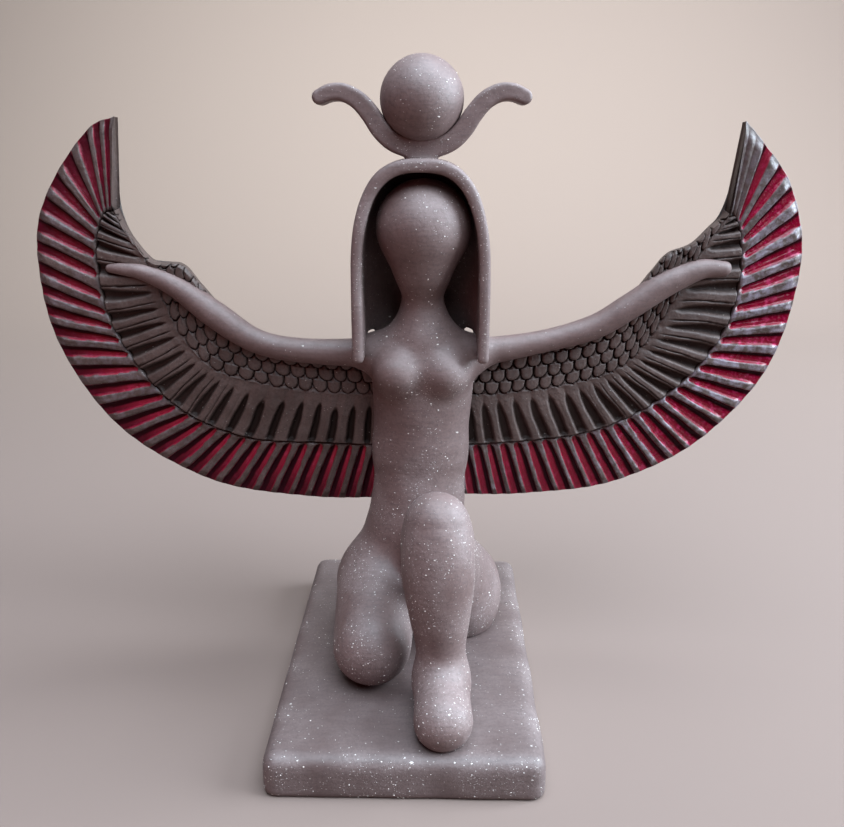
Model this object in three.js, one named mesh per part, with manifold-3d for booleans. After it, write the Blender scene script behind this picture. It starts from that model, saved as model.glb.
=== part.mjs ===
// A kneeling winged goddess, hand built from grogged stoneware, in the ancient Egyptian manner.
// Millimetres, +Z up. The origin is the middle of the plinth's underside and the goddess faces -Y.
// The wings are named as the viewer sees them: the left wing is on -X, behind her right arm.

import * as THREE from 'three';
import { mergeVertices } from 'three/addons/utils/BufferGeometryUtils.js';
import Module from 'manifold-3d';

const wasm = await Module();
wasm.setup();

// The joint that is left between two members where they are luted together.
const SEAM = 0.3;
const CUT_ROOM = 0.36;

// The oblong plinth.
const PLINTH_WIDTH = 92;
const PLINTH_LENGTH = 133;
const PLINTH_HEIGHT = 15;
const PLINTH_CORNER = 5;
const PLINTH_TOP_ROUND = 3;
const PLINTH_FOOT_ROUND = 1.2;

// The figure kneels a little to the right of the plinth's middle and a little in front of it. Every size
// below is given before that last small move.
const AXIS_X = 4.5;
const FIGURE_FORWARD = 1.2;

// Each limb of the body is a tapered round bar: two centres, each with its radius. Depth squeezes its
// section from front to back, and blend is how softly it runs into what comes before it in the list. R and
// L are her own right and left; her right is at -X.
const BODY_LIMBS = [
  { name: 'chest', from: [4.8, 14, 120], to: [3.8, 14, 90], radii: [18.9, 17.3], depth: 0.62, blend: 0 },
  { name: 'waist', from: [3.8, 14, 90], to: [3.2, 14, 72], radii: [17.2, 16.8], depth: 0.64, blend: 3 },
  { name: 'pelvis', from: [3.2, 14, 72], to: [0.5, 15, 47], radii: [16.7, 21.3], depth: 0.78, blend: 3 },
  { name: 'shoulder R', from: [-11, 15, 127.6], to: [4.8, 14, 130.5], radii: [7.6, 9.8], depth: 1, blend: 4 },
  { name: 'shoulder L', from: [20.5, 15, 127], to: [4.8, 14, 130.5], radii: [7.6, 9.8], depth: 1, blend: 4 },
  { name: 'neck', from: [4.8, 14, 137], to: [4.6, 12.5, 156], radii: [7.6, 7.1], depth: 1, blend: 9 },
  { name: 'head', from: [4.5, 10, 173.4], to: [4.6, 9.5, 161], radii: [15.4, 10.4], depth: 1, blend: 6 },
  { name: 'thigh R', from: [-12.8, 11, 37], to: [-13, -21.2, 28], radii: [16, 14.2], depth: 1, blend: 7 },
  { name: 'shin R', from: [-12.5, -17, 27], to: [-10, 34, 24], radii: [11.5, 8], depth: 1, blend: 4 },
  { name: 'foot R', from: [-10, 35, 25], to: [-9.5, 49, 20.5], radii: [8.5, 6.4], depth: 1, blend: 3 },
  { name: 'thigh L', from: [13, 9, 43], to: [10.4, -32, 82], radii: [15, 11.8], depth: 1, blend: 7 },
  { name: 'calf L', from: [10.4, -33, 82], to: [11.2, -31, 69], radii: [11.8, 12.1], depth: 1, blend: 3 },
  { name: 'shin L', from: [11.2, -31, 69], to: [11.8, -34, 37], radii: [12, 8.5], depth: 1, blend: 3 },
  { name: 'ankle L', from: [11.8, -34, 37], to: [12, -36.5, 25], radii: [8.5, 9.2], depth: 1, blend: 3 },
  { name: 'foot L', from: [12, -36.5, 25], to: [12.6, -53, 21.5], radii: [9.2, 9.9], depth: 1, blend: 3 },
];
const BODY_SWELLS = [
  { name: 'buttock R', centre: [-11.5, 18, 27], radii: [17, 19, 22], blend: 7 },
  { name: 'buttock L', centre: [19.5, 18, 27], radii: [17, 19, 22], blend: 7 },
  { name: 'breast R', centre: [-4.2, 6.8, 121.5], radii: [6.8, 6.8, 6.8], blend: 4 },
  { name: 'breast L', centre: [13.2, 6.8, 121.5], radii: [6.8, 6.8, 6.8], blend: 4 },
];
const BODY_BOX = { low: [-36, -70, -8], high: [44, 64, 196] };
const BODY_CELL = [5, 5, 6];

// The arms as centres and radii, from inside the shoulder to the finger ends.
const RIGHT_ARM = [
  [-11, 15.5, 127.3, 5.6], [-38, 16.5, 127.6, 4.7], [-56, 17, 131, 4.6], [-70.5, 17, 140.6, 5.1],
  [-83.5, 17, 150.6, 4.1], [-96.5, 17.5, 155.8, 2.6], [-103, 17.8, 156.2, 1.9],
];
const LEFT_ARM = [
  [20.5, 15.5, 126.8, 5.6], [46.5, 16.5, 131.2, 4.3], [66, 17, 136.6, 4.6], [78.5, 17, 144.2, 4.8],
  [90.5, 17, 152.3, 4.7], [102, 17.2, 157.6, 3.9], [111.5, 17.6, 158, 2.6],
];
const ARM_SIDES = 8;
const ARM_RINGS = 13;

// The wig, an open hood. Each vault is an arch with a round back: half its width, the depth of its round
// back behind the bend, the height where the arch springs, and its rise to the crown.
const WIG_BEND_Y = 12;
const WIG_FRONT_Y = -2;
const WIG_FOOT_Z = 127.5;
const WIG_NAPE_Z = 121;
const WIG_OUTSIDE = { halfWidth: 23.6, back: 22, spring: 150, rise: 45.3 };
const WIG_INSIDE = { halfWidth: 19.7, back: 18, spring: 150, rise: 40.8 };
const WIG_AXIS_X = 4.2;
const WIG_OVER_WINGS_Z = 132.6;
const ARCH_POWER = 2.8;

// The horns: a strap of clay, given as the middle of its thickness from the lowest point to the tip.
const HORN_HALF = [
  [0, 198], [5, 198.6], [9.8, 200.6], [13.6, 204.2], [16.6, 208.6], [20.4, 212.8], [25, 215.1], [29.2, 215.2],
  [32.8, 213.8],
];
const HORN_Y = 9;
const HORN_DEPTH = 9.5;
const HORN_THICKNESS = 6.2;
const HORN_TIP_THICKNESS = 4.2;
const HORN_TIP_ROUND = 1.5;
const HORN_STEPS = 16;

// The sun ball.
const SUN_RADIUS = 13.7;
const SUN_Z = 213.3;
const SUN_SIDES = 16;
const SUN_BELTS = 12;

// The wings: stations across each wing, numbered by feather from the tip to the root behind the back. Each
// has [x, z] on the lead edge, at the foot of the scales, on the band and on the outer edge.
const LEFT_WING = [
  { feather: 0, lead: [-102.8, 177.6], scales: [-103.3, 177.3], band: [-104, 177.2], edge: [-99.8, 208.4] },
  { feather: 2, lead: [-101, 172.4], scales: [-101.5, 173], band: [-106.5, 176.5], edge: [-108.5, 205] },
  { feather: 4, lead: [-98.2, 167], scales: [-98.5, 168.5], band: [-108.5, 173], edge: [-121, 191.5] },
  { feather: 6, lead: [-92.3, 159.9], scales: [-94, 160.5], band: [-111, 165], edge: [-130, 176.5] },
  { feather: 9, lead: [-81.5, 158.5], scales: [-89.5, 147.5], band: [-110.5, 144], edge: [-133.5, 154] },
  { feather: 12, lead: [-75.5, 151.5], scales: [-85, 135.5], band: [-105, 128.5], edge: [-130.5, 131] },
  { feather: 16, lead: [-68, 142.5], scales: [-75, 122], band: [-90.5, 108], edge: [-114.5, 100.5] },
  { feather: 21, lead: [-54.5, 133.2], scales: [-55.5, 115], band: [-66, 94.5], edge: [-82, 77] },
  { feather: 27, lead: [-27.5, 131.2], scales: [-27, 111.5], band: [-31.5, 91.5], edge: [-40.5, 68.5] },
  { feather: 33, lead: [0.5, 131], scales: [0.5, 110.5], band: [1.5, 91], edge: [-2.5, 68.5] },
];
const RIGHT_WING = [
  { feather: 0, lead: [110, 177], scales: [110.4, 176.8], band: [111, 176.7], edge: [112.7, 206.8] },
  { feather: 2, lead: [107.5, 174], scales: [108.5, 173], band: [113, 174.5], edge: [118.5, 201] },
  { feather: 4, lead: [105, 172], scales: [104.5, 168], band: [115, 169], edge: [129.5, 188] },
  { feather: 6, lead: [99.5, 166.5], scales: [99.5, 158.5], band: [116.5, 159], edge: [136.5, 170.5] },
  { feather: 9, lead: [91, 163], scales: [91.5, 141.5], band: [115, 140.5], edge: [137, 145] },
  { feather: 12, lead: [86, 157], scales: [85.5, 131], band: [107, 124.5], edge: [131, 121] },
  { feather: 16, lead: [78, 147], scales: [76.5, 121.5], band: [92.5, 109.5], edge: [111.5, 95] },
  { feather: 21, lead: [61, 138.5], scales: [59.5, 115.5], band: [69.5, 97.5], edge: [81.5, 77] },
  { feather: 27, lead: [33, 132], scales: [32.5, 111.5], band: [37.5, 92.5], edge: [44.5, 70.5] },
  { feather: 33, lead: [7.5, 131], scales: [7.5, 111], band: [7.5, 91], edge: [10.5, 70] },
];
const WING_FRONT_Y = 18;
const WING_BACK_Y = 24.2;
const TIP_THICKNESS = 3.8;
const PRIMARIES = 33;
const SECONDARIES = 25;
const SCALES_IN_ROW = 19;
const SCALES_FROM = 5;
const RIB_LIFT = 1.3;
const GROOVE_DEPTH = 0.5;
const VANE_LIFT = 2;
const VANE_NOTCH = 1.3;
const SCALE_LIFT = 1.9;
const SCALE_BED = 0.7;
const EDGE_SCALLOP = 0.9;
// Where each member turns across its own width: the start of its groove or notch, then its two shoulders.
const RIB_SHOULDERS = [0, 0.38, 0.84];
const VANE_SHOULDERS = [0, 0.3, 0.9];
const SCALE_SHOULDERS = [0, 0.28, 0.72];
const SCALE_ROW_FEET = [0.54, 0.77, 1];
const SCALE_POINT = 0.11;
const SCALE_STAGGER = 0.7;
const SCALES_FULL_DEPTH = 10;

// Solids and cuts.

// A geometry as a solid, without the slivers that a pole leaves once its points are merged.
function solidOf(geometry) {
  const bare = geometry.clone();
  bare.deleteAttribute('normal');
  bare.deleteAttribute('uv');
  const merged = mergeVertices(bare, 1e-4);
  const corners = Array.from(merged.index.array);
  const kept = corners.filter((_, place) => {
    const [a, b, c] = corners.slice(place - place % 3, place - place % 3 + 3);
    return a !== b && b !== c && c !== a;
  });
  return new wasm.Manifold(new wasm.Mesh({
    numProp: 3,
    vertProperties: new Float32Array(merged.attributes.position.array),
    triVerts: new Uint32Array(kept),
  }));
}

function geometryOf(solid) {
  const mesh = solid.getMesh();
  const geometry = new THREE.BufferGeometry();
  geometry.setAttribute('position', new THREE.BufferAttribute(mesh.vertProperties, mesh.numProp));
  geometry.setIndex(new THREE.BufferAttribute(mesh.triVerts, 1));
  return geometry;
}

// The largest piece of a solid, without the crumbs that a cut may free.
function mainPiece(solid) {
  return solid.decompose().reduce((best, piece) => (piece.volume() > best.volume() ? piece : best));
}

function volumeOf(points, triangles) {
  let sum = 0;
  for (const [a, b, c] of triangles) {
    const [p, q, r] = [points[a], points[b], points[c]];
    sum += p[0] * (q[1] * r[2] - q[2] * r[1]);
    sum += p[1] * (q[2] * r[0] - q[0] * r[2]);
    sum += p[2] * (q[0] * r[1] - q[1] * r[0]);
  }
  return sum / 6;
}

// Points and triangles as a geometry whose faces point out.
function closedGeometry(points, triangles) {
  const inward = volumeOf(points, triangles) < 0;
  const geometry = new THREE.BufferGeometry();
  geometry.setAttribute('position', new THREE.Float32BufferAttribute(points.flat(), 3));
  geometry.setIndex(triangles.flatMap(([a, b, c]) => (inward ? [a, c, b] : [a, b, c])));
  return geometry;
}

// A closed body from rings of equal count, with a fan at each end.
function loftedGeometry(rings) {
  const points = rings.flat();
  const sides = rings[0].length;
  const triangles = [];
  for (let ring = 0; ring < rings.length - 1; ring += 1) {
    for (let side = 0; side < sides; side += 1) {
      const a = ring * sides + side;
      const b = ring * sides + ((side + 1) % sides);
      triangles.push([a, b, b + sides], [a, b + sides, a + sides]);
    }
  }
  for (const [start, flip] of [[0, true], [(rings.length - 1) * sides, false]]) {
    const middle = points.length;
    const ring = points.slice(start, start + sides);
    points.push([0, 1, 2].map((axis) => ring.reduce((sum, point) => sum + point[axis], 0) / sides));
    for (let side = 0; side < sides; side += 1) {
      const pair = [start + side, start + ((side + 1) % sides)];
      triangles.push(flip ? [pair[1], pair[0], middle] : [pair[0], pair[1], middle]);
    }
  }
  return closedGeometry(points, triangles);
}

function boxSolid(low, high) {
  const size = high.map((value, axis) => value - low[axis]);
  const box = new THREE.BoxGeometry(...size);
  box.translate(...low.map((value, axis) => value + size[axis] / 2));
  return solidOf(box);
}

// The body as a distance, and its surface.

function softUnion(a, b, blend) {
  if (blend === 0) {
    return Math.min(a, b);
  }
  const near = Math.max(blend - Math.abs(a - b), 0) / blend;
  return Math.min(a, b) - near * near * blend * 0.25;
}

function taperedBarDistance(point, limb) {
  const middleY = (limb.from[1] + limb.to[1]) / 2;
  const squeezed = [point[0], middleY + (point[1] - middleY) / limb.depth, point[2]];
  const along = limb.to.map((value, axis) => value - limb.from[axis]);
  const reach = squeezed.map((value, axis) => value - limb.from[axis]);
  const length2 = along[0] ** 2 + along[1] ** 2 + along[2] ** 2;
  const taper = limb.radii[0] - limb.radii[1];
  const side2 = length2 - taper * taper;
  const y = reach[0] * along[0] + reach[1] * along[1] + reach[2] * along[2];
  const z = y - length2;
  const cross = reach.map((value, axis) => value * length2 - along[axis] * y);
  const x2 = cross[0] ** 2 + cross[1] ** 2 + cross[2] ** 2;
  const y2 = y * y * length2;
  const z2 = z * z * length2;
  const k = Math.sign(taper) * taper * taper * x2;
  let distance;
  if (Math.sign(z) * side2 * z2 > k) {
    distance = Math.sqrt(x2 + z2) / length2 - limb.radii[1];
  } else if (Math.sign(y) * side2 * y2 < k) {
    distance = Math.sqrt(x2 + y2) / length2 - limb.radii[0];
  } else {
    distance = (Math.sqrt(x2 * side2 / length2) + y * taper) / length2 - limb.radii[0];
  }
  return distance * limb.depth;
}

function swellDistance(point, swell) {
  const reach = point.map((value, axis) => (value - swell.centre[axis]) / swell.radii[axis]);
  const steep = reach.map((value, axis) => value / swell.radii[axis]);
  const size = Math.hypot(...reach);
  return size * (size - 1) / Math.max(Math.hypot(...steep), 1e-9);
}

function bodyDistance(point) {
  let distance = Infinity;
  for (const limb of BODY_LIMBS) {
    const next = taperedBarDistance(point, limb);
    distance = distance === Infinity ? next : softUnion(distance, next, limb.blend);
  }
  for (const swell of BODY_SWELLS) {
    distance = softUnion(distance, swellDistance(point, swell), swell.blend);
  }
  return distance;
}

function slopeOf(distanceAt, point) {
  const step = 0.05;
  return point.map((value, axis) => {
    const ahead = [...point];
    const behind = [...point];
    ahead[axis] = value + step;
    behind[axis] = value - step;
    return (distanceAt(ahead) - distanceAt(behind)) / (2 * step);
  });
}

// Moves a point down the slope until it lies at the given distance from the surface.
function settled(distanceAt, start, level) {
  let point = start;
  for (let turn = 0; turn < 5; turn += 1) {
    const slope = slopeOf(distanceAt, point);
    const steep = Math.max(slope[0] ** 2 + slope[1] ** 2 + slope[2] ** 2, 0.05);
    const miss = distanceAt(point) - level;
    point = point.map((value, axis) => value - slope[axis] * miss / steep);
  }
  return point;
}

// The corners of a grid cell as steps along each axis, its twelve edges as pairs of corners, and the four
// edges around each of its faces.
const CORNERS = [0, 1, 2, 3, 4, 5, 6, 7].map((bits) => [bits & 1, (bits >> 1) & 1, (bits >> 2) & 1]);
const CELL_EDGES = CORNERS.flatMap((_, corner) => [0, 1, 2].filter((axis) => CORNERS[corner][axis] === 0)
  .map((axis) => [corner, corner | (1 << axis)]));
const CELL_FACES = [0, 1, 2].flatMap((axis) => [0, 1].map((side) => CELL_EDGES.map((_, edge) => edge)
  .filter((edge) => CELL_EDGES[edge].every((corner) => CORNERS[corner][axis] === side))));

// Labels the crossed edges of a cell by the sheet of surface that passes through them. Where a face has
// corners inside on one diagonal only, its sheets go round those corners, so that neighbours agree.
function sheetLabels(values) {
  const labels = CELL_EDGES.map((_, edge) => edge);
  const inner = CELL_EDGES.map(([a, b]) => (values[a] < 0 ? a : b));
  const crossed = CELL_EDGES.map(([a, b]) => (values[a] < 0) !== (values[b] < 0));
  for (const face of CELL_FACES) {
    const open = face.filter((edge) => crossed[edge]);
    for (const first of open) {
      for (const second of open.filter((edge) => open.length === 2 || inner[edge] === inner[first])) {
        const [from, to] = [labels[second], labels[first]];
        labels.forEach((label, edge) => {
          labels[edge] = label === from ? to : label;
        });
      }
    }
  }
  return labels.map((label, edge) => (crossed[edge] ? label : -1));
}

// The middle of each sheet of surface in a cell, in steps of the cell, by its label.
function sheetMiddles(values, labels) {
  const sums = new Map();
  labels.forEach((label, edge) => {
    if (label < 0) {
      return;
    }
    const [a, b] = CELL_EDGES[edge];
    const share = values[a] / (values[a] - values[b]);
    const sum = sums.get(label) ?? [0, 0, 0, 0];
    CORNERS[a].forEach((start, axis) => {
      sum[axis] += start + share * (CORNERS[b][axis] - start);
    });
    sum[3] += 1;
    sums.set(label, sum);
  });
  return new Map([...sums].map(([label, sum]) => [label, sum.slice(0, 3).map((value) => value / sum[3])]));
}

// A net of quads across the grid edges that the surface crosses, with one vertex for each sheet of surface
// in a cell. The same net serves each level, so that a grown body is parallel to the body itself.
function surfaceNet(distanceAt, box, cell, levels) {
  const [nx, ny, nz] = box.high.map((value, axis) => Math.ceil((value - box.low[axis]) / cell[axis]) + 1);
  const placeOf = (place) => place.map((value, axis) => box.low[axis] + value * cell[axis]);
  const node = (i, j, k) => (k * ny + j) * nx + i;
  const eachNode = (from, less, visit) => {
    for (let k = from; k < nz - less; k += 1) {
      for (let j = from; j < ny - less; j += 1) {
        for (let i = from; i < nx - less; i += 1) {
          visit(i, j, k);
        }
      }
    }
  };
  const field = new Float64Array(nx * ny * nz);
  eachNode(0, 0, (i, j, k) => {
    field[node(i, j, k)] = distanceAt(placeOf([i, j, k]));
  });
  const cells = new Map();
  const starts = [];
  eachNode(0, 1, (i, j, k) => {
    const values = CORNERS.map(([a, b, c]) => field[node(i + a, j + b, k + c)]);
    if (values.every((value) => value < 0) || values.every((value) => value >= 0)) {
      return;
    }
    const labels = sheetLabels(values);
    const vertices = new Map();
    for (const [label, middle] of sheetMiddles(values, labels)) {
      vertices.set(label, starts.length);
      starts.push(placeOf([i, j, k].map((value, axis) => value + middle[axis])));
    }
    cells.set(node(i, j, k), labels.map((label) => vertices.get(label)));
  });
  const points = starts.map((start) => settled(distanceAt, start, levels[0]));
  const gap = (a, b) => Math.hypot(...points[a].map((value, axis) => value - points[b][axis]));
  const triangles = [];
  eachNode(1, 1, (i, j, k) => {
    for (let axis = 0; axis < 3; axis += 1) {
      const step = [0, 1, 2].map((other) => (other === axis ? 1 : 0));
      const here = field[node(i, j, k)] < 0;
      const there = field[node(i + step[0], j + step[1], k + step[2])] < 0;
      if (here === there) {
        continue;
      }
      const [u, v] = [(axis + 1) % 3, (axis + 2) % 3];
      const quad = [[0, 0], [1, 0], [1, 1], [0, 1]].map(([a, b]) => {
        const origin = [i, j, k];
        origin[u] -= a;
        origin[v] -= b;
        const corner = (a << u) | (b << v);
        const far = corner | (1 << axis);
        const edge = CELL_EDGES.findIndex(([low, high]) => low === corner && high === far);
        return cells.get(node(...origin))[edge];
      });
      const [p, q, r, s] = here ? quad : quad.reverse();
      if (gap(p, r) < gap(q, s)) {
        triangles.push([p, q, r], [p, r, s]);
      } else {
        triangles.push([p, q, s], [q, r, s]);
      }
    }
  });
  return levels.map((level, turn) => {
    const surface = turn === 0 ? points : starts.map((start) => settled(distanceAt, start, level));
    return solidOf(closedGeometry(surface, triangles));
  });
}

// A round rod through the given centres and radii, grown by an allowance, with rounded ends.
function rodSolid(stations, grow) {
  const path = new THREE.CatmullRomCurve3(stations.map(([x, y, z]) => new THREE.Vector3(x, y, z)));
  const radii = stations.map(([, , , radius], turn) => new THREE.Vector3(turn, radius, 0));
  const girth = new THREE.CatmullRomCurve3(radii);
  const rings = [];
  const addRing = (share, offset, scale) => {
    const middle = path.getPoint(share);
    const along = path.getTangent(share);
    const radius = (girth.getPoint(share).y + grow) * scale;
    const side = new THREE.Vector3(0, 1, 0).cross(along).normalize();
    const up = along.clone().cross(side);
    middle.addScaledVector(along, offset * (girth.getPoint(share).y + grow));
    rings.push(Array.from({ length: ARM_SIDES }, (_, turn) => {
      const angle = 2 * Math.PI * turn / ARM_SIDES;
      return middle.clone().addScaledVector(side, radius * Math.cos(angle))
        .addScaledVector(up, radius * Math.sin(angle)).toArray();
    }));
  };
  addRing(0, 0, 1);
  for (let ring = 1; ring < ARM_RINGS; ring += 1) {
    addRing(ring / ARM_RINGS, 0, 1);
  }
  addRing(1, 0, 1);
  addRing(1, 0.6, 0.78);
  addRing(1, 0.95, 0.3);
  return solidOf(loftedGeometry(rings));
}

// The plinth: rounded rectangles stacked from the underside to the top.
function plinthSolid() {
  const ring = (inset, z) => {
    const points = [];
    const radius = PLINTH_CORNER - inset;
    for (const [sx, sy, turn] of [[1, 1, 0], [-1, 1, 1], [-1, -1, 2], [1, -1, 3]]) {
      for (let step = 0; step <= 4; step += 1) {
        const angle = (turn + step / 4) * Math.PI / 2;
        points.push([
          sx * (PLINTH_WIDTH / 2 - PLINTH_CORNER) + radius * Math.cos(angle),
          sy * (PLINTH_LENGTH / 2 - PLINTH_CORNER) + radius * Math.sin(angle),
          z,
        ]);
      }
    }
    return points;
  };
  const rings = [ring(PLINTH_FOOT_ROUND, 0), ring(0, PLINTH_FOOT_ROUND)];
  for (let step = 0; step <= 3; step += 1) {
    const angle = step / 3 * Math.PI / 2;
    rings.push(ring(
      PLINTH_TOP_ROUND * (1 - Math.cos(angle)),
      PLINTH_HEIGHT - PLINTH_TOP_ROUND * (1 - Math.sin(angle)),
    ));
  }
  return solidOf(loftedGeometry(rings));
}

// A vault: a straight tunnel from the front to the bend, closed by a round back, up to its arched crown.
function vaultSolid(shape, front, foot) {
  const sideSteps = 2;
  const backSteps = 10;
  const riseSteps = 6;
  const plan = [];
  for (let step = 0; step < sideSteps; step += 1) {
    plan.push([-1, 0, front + (WIG_BEND_Y - front) * step / sideSteps]);
  }
  for (let step = 0; step <= backSteps; step += 1) {
    const angle = Math.PI * step / backSteps;
    plan.push([-Math.cos(angle), Math.sin(angle), WIG_BEND_Y]);
  }
  for (let step = 1; step <= sideSteps; step += 1) {
    plan.push([1, 0, WIG_BEND_Y + (front - WIG_BEND_Y) * step / sideSteps]);
  }
  const levels = [[1, foot]];
  for (let step = 0; step <= riseSteps; step += 1) {
    const angle = step / riseSteps * Math.PI / 2;
    const share = 2 / ARCH_POWER;
    const spread = step === riseSteps ? 0 : Math.cos(angle) ** share;
    levels.push([spread, shape.spring + shape.rise * Math.sin(angle) ** share]);
  }
  const points = [];
  for (const [spread, z] of levels) {
    for (const [across, back, ridge] of plan) {
      points.push([WIG_AXIS_X + across * shape.halfWidth * spread, ridge + back * shape.back * spread, z]);
    }
  }
  const width = plan.length;
  const triangles = [];
  for (let level = 0; level < levels.length - 1; level += 1) {
    for (let step = 0; step < width - 1; step += 1) {
      const a = level * width + step;
      triangles.push([a, a + 1, a + 1 + width], [a, a + 1 + width, a + width]);
    }
  }
  for (let level = 0; level < levels.length - 1; level += 1) {
    const [a, b] = [level * width, level * width + width - 1];
    triangles.push([a, a + width, b + width], [a, b + width, b]);
  }
  for (let step = 1; step < width - 1; step += 1) {
    triangles.push([0, step + 1, step]);
  }
  return solidOf(closedGeometry(points, triangles));
}

// The wig: one vault less another, with its foot raised over the arms and higher again over the wings.
function wigSolid(grownFigure) {
  const reach = WIG_OUTSIDE.halfWidth;
  const shell = vaultSolid(WIG_OUTSIDE, WIG_FRONT_Y, WIG_NAPE_Z)
    .subtract(vaultSolid(WIG_INSIDE, WIG_FRONT_Y - reach, WIG_NAPE_Z - reach));
  const room = (front, top) => boxSolid(
    [WIG_AXIS_X - 2 * reach, front, WIG_NAPE_Z - reach],
    [WIG_AXIS_X + 2 * reach, WING_BACK_Y + 2 * SEAM, top],
  );
  const overArms = room(WIG_FRONT_Y - reach, WIG_FOOT_Z);
  const overWings = room(WING_FRONT_Y - SCALE_LIFT - 1, WIG_OVER_WINGS_Z);
  return shell.subtract(overArms).subtract(overWings).subtract(grownFigure);
}

// The horns: a strap with softened edges that follows its middle line from one tip to the other.
function hornsSolid() {
  const half = HORN_HALF.map(([x, z]) => new THREE.Vector3(x, HORN_Y, z));
  const mirrored = half.slice(1).reverse().map((point) => new THREE.Vector3(-point.x, point.y, point.z));
  const line = [...mirrored, ...half];
  const path = new THREE.CatmullRomCurve3(line.map((point) => point.add(new THREE.Vector3(AXIS_X, 0, 0))));
  const section = [
    [-1, 0.35], [-0.75, 1], [0.75, 1], [1, 0.35], [1, -0.35], [0.75, -1], [-0.75, -1], [-1, -0.35],
  ];
  const rings = [];
  const addRing = (share, offset, scale) => {
    const middle = path.getPoint(share);
    const along = path.getTangent(share);
    const up = new THREE.Vector3(-along.z, 0, along.x);
    const toTip = Math.abs(2 * share - 1) ** 3;
    const thickness = (HORN_THICKNESS + (HORN_TIP_THICKNESS - HORN_THICKNESS) * toTip) * scale;
    middle.addScaledVector(along, offset);
    rings.push(section.map(([across, lift]) => [
      middle.x + up.x * lift * thickness / 2,
      middle.y + across * HORN_DEPTH / 2 * (0.4 + 0.6 * scale),
      middle.z + up.z * lift * thickness / 2,
    ]));
  };
  addRing(0, -HORN_TIP_ROUND, 0.35);
  for (let step = 0; step <= HORN_STEPS; step += 1) {
    addRing(step / HORN_STEPS, 0, 1);
  }
  addRing(1, HORN_TIP_ROUND, 0.35);
  return solidOf(loftedGeometry(rings));
}

function sunSolid(grow) {
  const ball = new THREE.SphereGeometry(SUN_RADIUS + grow, SUN_SIDES, SUN_BELTS);
  ball.rotateX(Math.PI / 2);
  ball.translate(AXIS_X, HORN_Y, SUN_Z);
  return solidOf(ball);
}

// The wings.

// A smooth line through one point of each station, read at any feather number.
function stationLine(stations, part) {
  const knots = stations.map((station) => station.feather);
  const points = stations.map((station) => station[part]);
  const slopes = points.map((_, turn) => {
    const before = Math.max(turn - 1, 0);
    const after = Math.min(turn + 1, points.length - 1);
    const slope = (from, to, axis) => (points[to][axis] - points[from][axis]) / (knots[to] - knots[from]);
    return [0, 1].map((axis) => {
      if (before === turn || after === turn) {
        return slope(before, after, axis);
      }
      const [near, far] = [knots[turn] - knots[before], knots[after] - knots[turn]];
      return (slope(before, turn, axis) * far + slope(turn, after, axis) * near) / (near + far);
    });
  });
  return (feather) => {
    let span = 0;
    while (span < knots.length - 2 && feather > knots[span + 1]) {
      span += 1;
    }
    const width = knots[span + 1] - knots[span];
    const u = (feather - knots[span]) / width;
    return [0, 1].map((axis) => (2 * u ** 3 - 3 * u ** 2 + 1) * points[span][axis]
      + (u ** 3 - 2 * u ** 2 + u) * width * slopes[span][axis]
      + (3 * u ** 2 - 2 * u ** 3) * points[span + 1][axis]
      + (u ** 3 - u ** 2) * width * slopes[span + 1][axis]);
  };
}

function mixed(a, b, share) {
  return a.map((value, axis) => value + (b[axis] - value) * share);
}

// Feather numbers of the turning points of a row of equal members. Shares are of one member's width.
function rowOfMembers(from, to, count, shares) {
  const marks = [];
  const width = (to - from) / count;
  for (let member = 0; member < count; member += 1) {
    shares.forEach((share, kind) => {
      marks.push({ feather: from + (member + share) * width, kind });
    });
  }
  marks.push({ feather: to, kind: 0 });
  return marks;
}

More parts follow.
